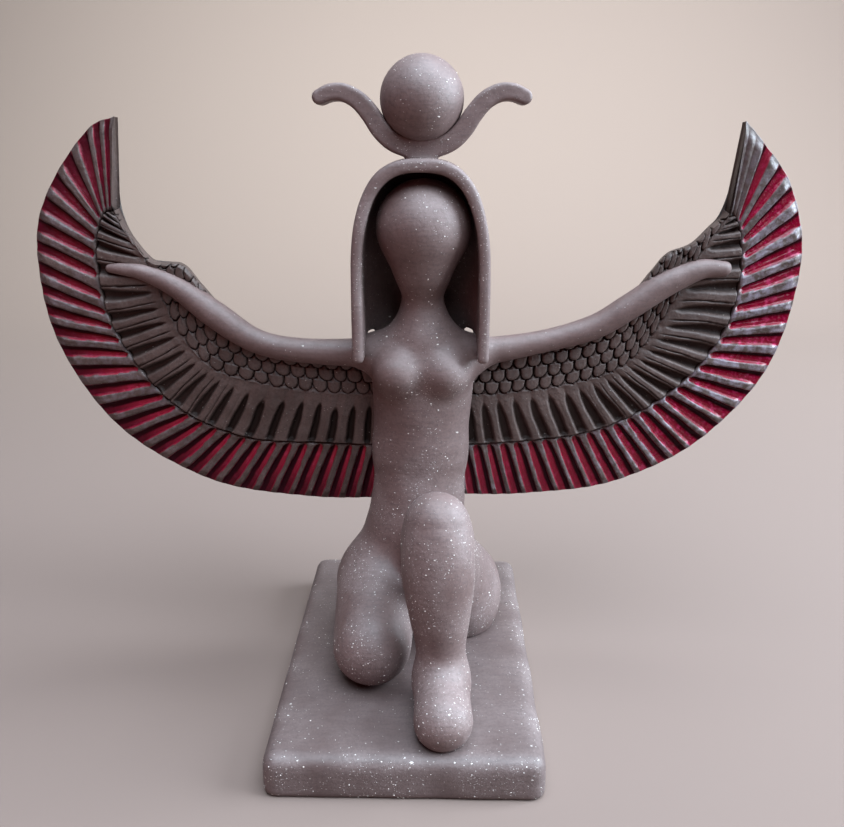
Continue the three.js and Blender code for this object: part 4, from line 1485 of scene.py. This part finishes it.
@dataclass
class Wing:
    """One wing: a slab of clay with scales, secondaries and primaries carved on its front."""

    side: WingSide
    stations: tuple[Station, ...]
    carving: Carving
    front_y: float = 18.0
    back_y: float = 24.2
    tip_thickness: float = 3.8
    primaries: int = 33
    secondaries: int = 25
    columns_each: int = 16
    scallop: float = 0.15
    seed: float = 3.0

    def line(self, part: str, feathers: np.ndarray) -> np.ndarray:
        """A smooth line through one point of each station.

        Args:
            part: The station's point, by name.
            feathers: Where the line is read.

        Returns:
            The places, x and z.
        """
        knots = np.array([station.feather for station in self.stations], float)
        points = np.array([getattr(station, part) for station in self.stations], float)
        widths = np.diff(knots)
        rises = np.diff(points, axis=0) / widths[:, None]
        slopes = np.vstack([rises[:1], np.zeros_like(rises[1:]), rises[-1:]])
        both = (widths[:-1] + widths[1:])[:, None]
        slopes[1:-1] = (rises[:-1] * widths[1:, None] + rises[1:] * widths[:-1, None]) / both
        span = np.clip(np.searchsorted(knots, feathers, side="right") - 1, 0, len(widths) - 1)
        width = widths[span][:, None]
        u = ((feathers - knots[span]) / widths[span])[:, None]
        return ((2 * u ** 3 - 3 * u ** 2 + 1) * points[span] + (u ** 3 - 2 * u ** 2 + u) * width * slopes[span]
                + (3 * u ** 2 - 2 * u ** 3) * points[span + 1] + (u ** 3 - u ** 2) * width * slopes[span + 1])

    def blank(self, finish: bpy.types.Material) -> bpy.types.Object:
        """The uncarved slab, with the places along and across the wing stored on its points.

        Args:
            finish: The clay.

        Returns:
            The slab.
        """
        feathers = np.linspace(0, self.primaries, self.primaries * self.columns_each + 1)
        lead, scales, band, edge = (self.line(part, feathers) for part in ("lead", "scales", "band", "edge"))
        rows = np.concatenate([
            np.linspace(0, 1, 84)[:-1],
            np.linspace(1, 1.965, 40),
            [1.98, 1.99, 1.997, 2.003, 2.01, 2.022, 2.036],
            np.linspace(2.055, 2.975, 40),
            [2.99, 3.0],
        ])
        crest = 0.5 + 0.5 * np.cos(feathers * 2 * math.pi)
        length = np.linalg.norm(edge - band, axis=1)
        edge = edge - (edge - band) * (self.scallop * (1 - crest) / length)[:, None]
        grid, stored = [], []
        run = np.concatenate([[0], np.cumsum(np.linalg.norm(np.diff((lead + scales) / 2, axis=0), axis=1))])
        deep = np.linalg.norm(scales - lead, axis=1)
        for row in rows:
            zone = min(int(row), 2)
            share = row - zone
            ends = ((lead, scales), (scales, band), (band, edge))[zone]
            flat = ends[0] + (ends[1] - ends[0]) * share
            grid.append(np.column_stack([flat[:, 0], np.full(len(flat), self.front_y), flat[:, 1]]))
            rise = (1 - row) * deep if row < 1 else -(row - 1) * 20
            rises = np.broadcast_to(rise, run.shape)
            stored.append(np.column_stack([feathers, np.full(len(flat), row), run[-1] - run, rises]))
        share = np.clip(feathers / (self.primaries / 2), 0, 1)
        gain = self.back_y - self.front_y - self.tip_thickness
        thick = self.tip_thickness + gain * share ** 2 * (3 - 2 * share)
        for inset, lift in ((0.995, 0.35), (0.99, 1.0), (0.5, 1.0), (0.02, 1.0), (0.008, 0.35)):
            start = lead if inset < 0.9 else band
            flat = start + (edge - start) * inset
            grid.append(np.column_stack([flat[:, 0], self.front_y + thick * lift, flat[:, 1]]))
            stored.append(np.column_stack([feathers, np.full(len(flat), -1.0), run, np.zeros(len(flat))]))
        count, width = len(grid), len(feathers)
        points = np.concatenate(grid)
        points[:, 1] -= FORWARD
        values = np.concatenate(stored)
        ring, across = np.meshgrid(np.arange(count), np.arange(width - 1), indexing="ij")
        a = ring * width + across
        b = ((ring + 1) % count) * width + across
        quads = np.stack([a, a + 1, b + 1, b], -1).reshape(-1, 4)
        if self.side is WingSide.RIGHT:
            quads = quads[:, ::-1]
        faces = quads.tolist()
        caps = [[place * width + end for place in range(count)] for end in (0, width - 1)]
        faces += [caps[0], caps[1][::-1]] if self.side is WingSide.RIGHT else [caps[0][::-1], caps[1]]
        mesh = bpy.data.meshes.new(self.side.value)
        mesh.from_pydata((points * MM).tolist(), [], faces)
        for place, name in enumerate(("feather", "course", "run", "rise")):
            layer = mesh.attributes.new(name, "FLOAT", "POINT")
            layer.data.foreach_set("value", values[:, place].astype(np.float32))
        mesh.materials.append(finish)
        return placed(f"{self.side.value}_feathers", mesh)

    def scales(self, tree: ReliefTree, ground: Flow) -> tuple[Flow, Flow]:
        """The relief of the scales: rows of round-footed tiles, each row laid over the one below.

        Args:
            tree: The tree.
            ground: The height of the clay that the lowest row lies on.

        Returns:
            The lift in millimetres, and how much of a place is crack, which is also painted dark as shade.
        """
        cut = self.carving
        width = tree.size("Scale width", cut.scale_width)
        height = tree.size("Scale height", cut.scale_height)
        lift = tree.size("Scale lift", cut.scale_lift)
        depth = tree.size("Crack depth", cut.crack_depth)
        half = tree.size("Crack half width", cut.crack_half)
        up = tree.attribute("rise") + (tree.noise(140, 2) - 0.5) * 1.7
        along = tree.attribute("run") + (tree.noise(120, 2) - 0.5) * 2.2
        row = (up / height).floor()
        radius = width * 0.485

        def edge(level: Flow) -> Flow:
            """How far outside the nearest tile of a row a place lies.

            Args:
                level: The row's number.

            Returns:
                Millimetres, below 0 on the tile.
            """
            across = ((along / width + (level * 0.5).fract()).fract() - 0.5) * width
            below = (up - level * height - radius).least(0.0)
            return across.hypot(below) - radius

        own, under = edge(row), edge(row - 1.0)
        bare = own.above(0.0)
        gap = bare.between(own * -1.0, own.least(under * -1.0))
        reach = (up / height - row + bare) * 0.62
        lowest = bare * row.absolute().smooth(0.6, 0.4)
        groove = gap.smooth(half, half * 0.3)
        dome = gap.smooth(0.0, 1.5) * 0.3
        tile = (1.0 - reach) * lift + dome + 1.15
        laid = lowest.between(tile, ground)
        return laid - groove * depth, groove

    def primaries_relief(self, tree: ReliefTree, place: Flow, out: Flow, luck: Flow) -> tuple[Flow, Flow, Flow]:
        """The long feathers: a rib each, with a hollow between that starts round and widens to the edge.

        Args:
            tree: The tree.
            place: The place across the feathers.
            out: From 0 at the band to 1 at the edge.
            luck: The feather's own number from 0 to 1.

        Returns:
            The lift in millimetres, how deep in a hollow a place is, and the painted shadow on the groove's
            steep wall.
        """
        cut = self.carving
        half = place.smooth(8.0, 20.0).between(0.2, tree.size("Groove half width", cut.groove_half))
        wall = tree.size("Groove wall", cut.groove_wall)
        side = place.fract() - 0.5
        wide = out.smooth(0.0, 0.5).between(0.82, 1.08) * luck.between(0.88, 1.12)
        start = ((0.1 - out) * 5.5).most(0.0)
        grooved = place.above(tree.size("Plain tip", cut.plain_tip))
        section = (side.absolute() / wide).hypot(start).smooth(half, half + wall)
        section = 1.0 - (1.0 - section) * grooved
        hollow = 1.0 - section
        crown = 1.0 - (1.0 - side.absolute() * 2.0).power(2.0) * 0.5
        rib = crown * tree.size("Rib lift", cut.rib_lift) * luck.between(0.86, 1.08)
        tilt = side.smooth(0.2, -0.2).between(0.35, 1.0)
        crest = (side - 0.07 - (luck - 0.5) * 0.1).absolute().smooth(0.05, 0.0)
        ridge = crest * hollow * tree.size("Ridge", cut.ridge)
        lift = section * rib - hollow * tilt * tree.size("Groove depth", cut.groove_depth) + ridge
        lift = out.smooth(0.86, 1.0).between(lift, -0.25)
        lift = lift - out.smooth(0.06, 0.0) * 0.4
        # Painted shadow on the steep wall of each groove, on the side of the lower feather number, wider towards
        # the root.
        limit = place.smooth(6.0, 18.0).between(-0.1, cut.wall_shade_edge)
        bare = hollow.smooth(0.1, 0.5) * (side / wide - limit).smooth(0.04, -0.04)
        return lift + (tree.noise(320, 3) - 0.5) * 0.3, hollow, bare

    def vanes_relief(
        self, tree: ReliefTree, place: Flow, down: Flow, feather: Flow, luck: Flow
    ) -> tuple[Flow, Flow]:
        """The short feathers: flat bars with a deep wedge cut between each pair.

        Args:
            tree: The tree.
            place: The place across the bars.
            down: From 0 at the scales to 1 at the band.
            feather: The place along the wing.
            luck: The bar's own number from 0 to 1.

        Returns:
            The lift in millimetres, and the painted shade in the cuts, from 0 to 1.
        """
        cut = self.carving
        scoops = feather.smooth(cut.scoops_to + 2.5, cut.scoops_to - 2.5)
        wedge_half = tree.size("Wedge half width", cut.wedge_half)
        half = scoops.between(wedge_half, tree.size("Scoop half width", cut.scoop_half))
        wall = scoops.between(tree.size("Wedge wall", cut.wedge_wall), tree.size("Scoop wall", cut.scoop_wall))
        top = scoops.between(cut.wedge_top, 0.06) * luck.between(0.7, 1.3)
        tips = feather.smooth(cut.open_tips, cut.open_tips - 4.0)
        side = place.fract() - 0.5 + (down - 0.5) * scoops * 0.12
        away = side.absolute()
        wide = down.smooth(0.0, scoops.between(0.6, 0.9)) * half * luck.between(0.8, 1.15)
        fade = down.smooth(top, top + 0.2)
        stop = down.smooth(0.98, 0.95).most(tips)
        cut_open = away.smooth(wide + wall * fade, wide * 0.7) * fade
        slot = cut_open * stop
        parting = (place.fract() - 0.1).absolute().smooth(0.045, 0.015) * scoops * fade
        crown = 1.0 - (1.0 - away * 2.0).power(2.0) * 0.22
        lift = crown * tree.size("Vane lift", cut.vane_lift) * down.smooth(0.0, 0.5).between(0.72, 1.0)
        deepening = down.smooth(0.1, 0.7).between(0.45, 1.0)
        lift = lift - slot * tree.size("Wedge depth", cut.wedge_depth) * deepening
        lift = lift - parting * 0.7
        foot = down.smooth(0.998, 0.975).most(tips)
        # Painted shade in the cuts and along the partings.
        shade = (cut_open * foot).smooth(0.08, cut.shade_soft) * scoops.between(cut.slot_shade, cut.scoop_shade)
        shade = shade.most(parting)
        return lift + luck * 0.2 + (tree.noise(260, 3) - 0.5) * 0.3, shade

    def relief(self, finish: bpy.types.Material) -> ReliefTree:
        """The tree that carves a wing.

        Args:
            finish: The clay.

        Returns:
            The tree.
        """
        cut = self.carving
        tree = ReliefTree(f"{self.side.value} relief")
        feather, course = tree.attribute("feather"), tree.attribute("course")
        short = tree.size("Secondaries", float(self.secondaries))
        ratio = short / tree.size("Primaries", float(self.primaries))
        seed = tree.size("Seed", self.seed)

        def luck(place: Flow, offset: float) -> Flow:
            """A chance number for each feather, whose hollow lies at its middle.

            Args:
                place: The place across the feathers.
                offset: Sets one course's numbers apart from another's.

            Returns:
                From 0 to 1.
            """
            cell = tree.node("ShaderNodeTexWhiteNoise", noise_dimensions="2D")
            tree.feed(cell.inputs["Vector"], tree.vector(place.floor(), seed + offset))
            return tree.flow(cell.outputs["Value"])

        out, down = (course - 2.0).clamped(), (course - 1.0).clamped()
        place = feather + (tree.noise(60, 2) - 0.5) * 0.3 * out.between(0.5, 1.0)
        tip = feather.smooth(4.0, 14.0)
        primary, hollow, bare = self.primaries_relief(tree, place, out, luck(place, 0.0))
        bar = feather * ratio + (tree.noise(42, 2) - 0.5) * 0.45
        vane, slot = self.vanes_relief(tree, bar, down, feather, luck(bar, 7.0))
        scale, crack = self.scales(tree, vane.least(1.0))

        in_scales = course.smooth(1.012, 0.992)
        in_primaries = course.smooth(1.994, 2.004)
        lift = in_primaries.between(in_scales.between(vane, scale), primary)
        wavering = course + (tree.noise(220, 2) - 0.5) * 0.012
        seam = (wavering - 2.001).absolute().smooth(0.013, 0.005) * course.above(1.5)
        lead_round = course.smooth(0.06, 0.0)
        front = course.above(-0.5)
        lift = (lift - seam * 1.1 - lead_round * 0.9) * front

        outside = course.above(2.02)
        patch = tree.noise(60, 3).smooth(0.28, 0.45).between(0.8, 1.0)
        red = hollow.smooth(0.3, 0.65) * patch * outside
        plain = feather.smooth(1.5, 7.0).between(0.3, 1.0)
        # Grey glaze with painted highlight on the ribs: strongest from the seventh to the twelfth feather,
        # fainter at the very tip and towards the root.
        grey_glaze_and_highlight = outside * feather.smooth(26.0, 12.0).between(0.25, 1.0) * plain * cut.grey_glaze_and_highlight
        aged = (out.smooth(0.15, 1.0) * cut.red_fade).most(tip.between(cut.tip_fade, 0.0)).least(0.85) * hollow
        # Painted shade for the hollow attribute: the cuts between the short feathers, the band seam and the
        # scale cracks. The next line adds the painted wall shadow and the glaze's fade.
        dark = slot * (1.0 - in_primaries) * (1.0 - in_scales) + seam + crack * in_scales
        dark = (dark + bare.most(aged) * outside).clamped() * front

        flowing = tree.entry.outputs["Geometry"]
        for name, value in (("glaze", red), ("grey_glaze_and_highlight", grey_glaze_and_highlight), ("hollow", dark)):
            store = tree.node("GeometryNodeStoreNamedAttribute", data_type="FLOAT", domain="POINT")
            tree.feed(store.inputs["Geometry"], flowing)
            store.inputs["Name"].default_value = name
            tree.feed(store.inputs["Value"], value)
            flowing = store.outputs["Geometry"]
        move = tree.node("GeometryNodeSetPosition")
        tree.feed(move.inputs["Geometry"], flowing)
        tree.feed(move.inputs["Offset"], tree.vector(0.0, lift * -MM, 0.0))
        tree.dress(move.outputs["Geometry"], finish)
        return tree

    def build(self, finish: bpy.types.Material) -> bpy.types.Object:
        """The wing as a piece.

        Args:
            finish: The clay and glaze.

        Returns:
            The piece.
        """
        made = self.blank(finish)
        self.relief(finish).run(made)
        made.data.shade_smooth()
        return settle(made, WING_SLOT, self.side.value)


@dataclass
class GrogGrains:
    """The grit that stands proud of the clay, scattered over every stoneware member."""

    density: float = 0.14
    smallest: float = 0.1
    largest: float = 0.32
    seed: int = 11

    def build(self, carriers: Sequence[bpy.types.Object], finish: bpy.types.Material) -> bpy.types.Object:
        """The grains as one piece.

        Args:
            carriers: The members that carry grit.
            finish: The grit's own look.

        Returns:
            The piece.
        """
        corners, faces, shares, base = [], [], [], 0
        for carrier in carriers:
            mesh = carrier.data
            corners += [vertex.co[:] for vertex in mesh.vertices]
            faces += [[base + corner for corner in polygon.vertices] for polygon in mesh.polygons]
            share = np.empty(len(mesh.vertices), np.float32)
            mesh.attributes["grit"].data.foreach_get("value", share)
            shares.append(share)
            base += len(mesh.vertices)
        mesh = bpy.data.meshes.new("grog_grains")
        mesh.from_pydata(corners, [], faces)
        mesh.attributes.new("grit", "FLOAT", "POINT").data.foreach_set("value", np.concatenate(shares))
        made = placed("grog_grains", mesh)

        tree = ReliefTree("grog grains")
        density = tree.size("Grains per square millimetre", self.density)
        smallest = tree.size("Smallest radius", self.smallest)
        largest = tree.size("Largest radius", self.largest)
        seed = tree.size("Seed", self.seed, "NodeSocketInt")
        scatter = tree.node("GeometryNodeDistributePointsOnFaces", distribute_method="RANDOM")
        tree.feed(scatter.inputs["Mesh"], tree.entry.outputs["Geometry"])
        gather, per_square_metre = 1.5, 1.0e6
        share = tree.attribute("grit").power(gather)
        tree.feed(scatter.inputs["Density"], density * share * per_square_metre)
        tree.feed(scatter.inputs["Seed"], seed)
        lowest_grain = 0.0012
        spot = tree.node("ShaderNodeSeparateXYZ")
        tree.feed(spot.inputs[0], tree.node("GeometryNodeInputPosition").outputs[0])
        tree.feed(scatter.inputs["Selection"], tree.flow(spot.outputs[2]).above(lowest_grain))
        grain = tree.node("GeometryNodeMeshIcoSphere")
        grain.inputs["Radius"].default_value = 1.0
        grain.inputs["Subdivisions"].default_value = 1

        def draw(kind: str, low: object, high: object, offset: int) -> bpy.types.NodeSocket:
            """A random value for each grain.

            Args:
                kind: The value's data type.
                low: Its lowest.
                high: Its highest.
                offset: Added to the seed.

            Returns:
                The value's socket.
            """
            node = tree.node("FunctionNodeRandomValue", data_type=kind)
            first = 0 if kind == "FLOAT_VECTOR" else 2
            tree.feed(node.inputs[first], low)
            tree.feed(node.inputs[first + 1], high)
            node.inputs["Seed"].default_value = self.seed + offset
            return node.outputs[0 if kind == "FLOAT_VECTOR" else 1]

        lot = tree.flow(draw("FLOAT", 0.0, 1.0, 1))
        radius = lot.power(4.0).between(smallest, largest) * MM
        stretch = draw("FLOAT_VECTOR", (0.7, 0.6, 0.35), (1.25, 1.0, 0.75), 2)
        scaled = tree.node("ShaderNodeVectorMath", operation="SCALE")
        tree.feed(scaled.inputs[0], stretch)
        tree.feed(scaled.inputs["Scale"], radius)
        place = tree.node("GeometryNodeInstanceOnPoints")
        tree.feed(place.inputs["Points"], scatter.outputs["Points"])
        tree.feed(place.inputs["Instance"], grain.outputs["Mesh"])
        tree.feed(place.inputs["Rotation"], scatter.outputs["Rotation"])
        tree.feed(place.inputs["Scale"], scaled.outputs[0])
        tree.dress(place.outputs["Instances"], finish)
        tree.run(made)
        return settle(made, CLAY_SLOT)


@dataclass
class Studio:
    """The floor, the lights and the camera."""

    eye: Vec = (9.82, -269.17, 200.39)
    turn: float = 1.097
    tilt: float = 18.789
    focal_pixels: float = 800.0
    frame_pixels: float = 844.0
    sensor: float = 36.0
    clip: tuple[float, float] = (0.01, 20.0)
    room_colour: tuple[float, float, float, float] = (1.0, 0.6, 0.52, 1.0)
    room_strength: float = 0.014

    def floor(self, finish: bpy.types.Material) -> None:
        """A pale floor that curves up into a wall far behind.

        Args:
            finish: The floor's material.
        """
        front, start, radius, top, half_width, steps = -3.0, 0.55, 0.5, 3.6, 4.0, 16
        profile = [(front, 0.0), (start, 0.0)]
        for step in range(1, steps + 1):
            angle = step / steps * math.pi / 2
            profile.append((start + radius * math.sin(angle), radius * (1 - math.cos(angle))))
        profile.append((start + radius, top))
        corners = [(x, y, z) for x in (-half_width, half_width) for y, z in profile]
        count = len(profile)
        faces = [(i, count + i, count + i + 1, i + 1) for i in range(count - 1)]
        mesh = bpy.data.meshes.new("studio_floor")
        mesh.from_pydata(corners, [], faces)
        mesh.shade_smooth()
        mesh.materials.append(finish)
        made = placed("studio_floor", mesh)
        made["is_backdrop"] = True

    def lamp(
        self, name: str, place: Vec, aim: Vec, size: float, power: float, tint: Vec, spread: float = 180.0
    ) -> None:
        """One soft area light.

        Args:
            name: Its name.
            place: Where it hangs, in metres.
            aim: What it points at.
            size: The side of its square.
            power: Watts.
            tint: Its colour.
            spread: How wide it throws, in degrees.
        """
        data = bpy.data.lights.new(name, "AREA")
        data.shape = "SQUARE"
        data.size = size
        data.energy = power
        data.color = tint
        data.spread = math.radians(spread)
        made = placed(name, data)
        made.location = place
        made.rotation_euler = (Vector(aim) - Vector(place)).to_track_quat("-Z", "Y").to_euler()

    def lights(self) -> None:
        """A wide window light from above right, a weak warm fill from below left and a dim room."""
        self.lamp("window", (0.16, -0.22, 1.03), (0, 0, 0.1), 1.0, 34.0, (0.72, 0.87, 1.0))
        self.lamp("side window", (1.1, -0.04, 0.6), (0, 0, 0.12), 0.8, 46.0, (0.73, 0.88, 1.0))
        self.lamp("warm fill", (-0.55, -0.7, 0.02), (0, 0, 0.1), 0.7, 1.7, (1.0, 0.12, 0.08))
        self.lamp("wall wash", (0.0, 0.6, 1.6), (0, 1.4, 0.5), 1.0, 30.0, (0.85, 1.0, 0.98), 100.0)
        world = bpy.data.worlds.new("room")
        world.use_nodes = True
        glow = world.node_tree.nodes["Background"]
        glow.inputs["Color"].default_value = self.room_colour
        glow.inputs["Strength"].default_value = self.room_strength
        bpy.context.scene.world = world

    def camera(self) -> None:
        """The camera, where the photograph was taken from."""
        data = bpy.data.cameras.new("camera")
        data.sensor_width = self.sensor
        data.lens = self.focal_pixels / self.frame_pixels * self.sensor
        data.clip_start, data.clip_end = self.clip
        made = placed("camera", data)
        made.location = [value * MM for value in self.eye]
        made.rotation_euler = (math.radians(90 - self.tilt), 0, math.radians(self.turn))
        bpy.context.scene.camera = made

    def build(self) -> None:
        """Floor, lights and camera."""
        self.floor(PaleFloor().build())
        self.lights()
        self.camera()
        bpy.context.scene.view_settings.view_transform = "Standard"


def main() -> None:
    """Builds every member in order and reports each."""
    logging.basicConfig(level=logging.INFO, format="%(message)s")
    solid_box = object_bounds()
    Studio().build()
    clay = Stoneware().build()
    block = Stoneware("plinth stoneware", pale=colour(92, 75, 73), dark=colour(74, 54, 51)).build()
    feathers = WingClay().build()
    carriers = [
        Plinth().build(block),
        Figure().build(clay),
        Wig().build(clay),
        Horns().build(clay),
        SunBall().build(clay),
    ]
    Wing(WingSide.LEFT, LEFT_STATIONS, LEFT_CARVING).build(feathers)
    Wing(WingSide.RIGHT, RIGHT_STATIONS, RIGHT_CARVING, seed=5.0).build(feathers)
    GrogGrains().build(carriers, Grog().build())
    boxes = {"solids": solid_box, "scene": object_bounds()}
    {name: [list(corner) for corner in box] for name, box in boxes.items()}


if __name__ == "__main__":
    main()
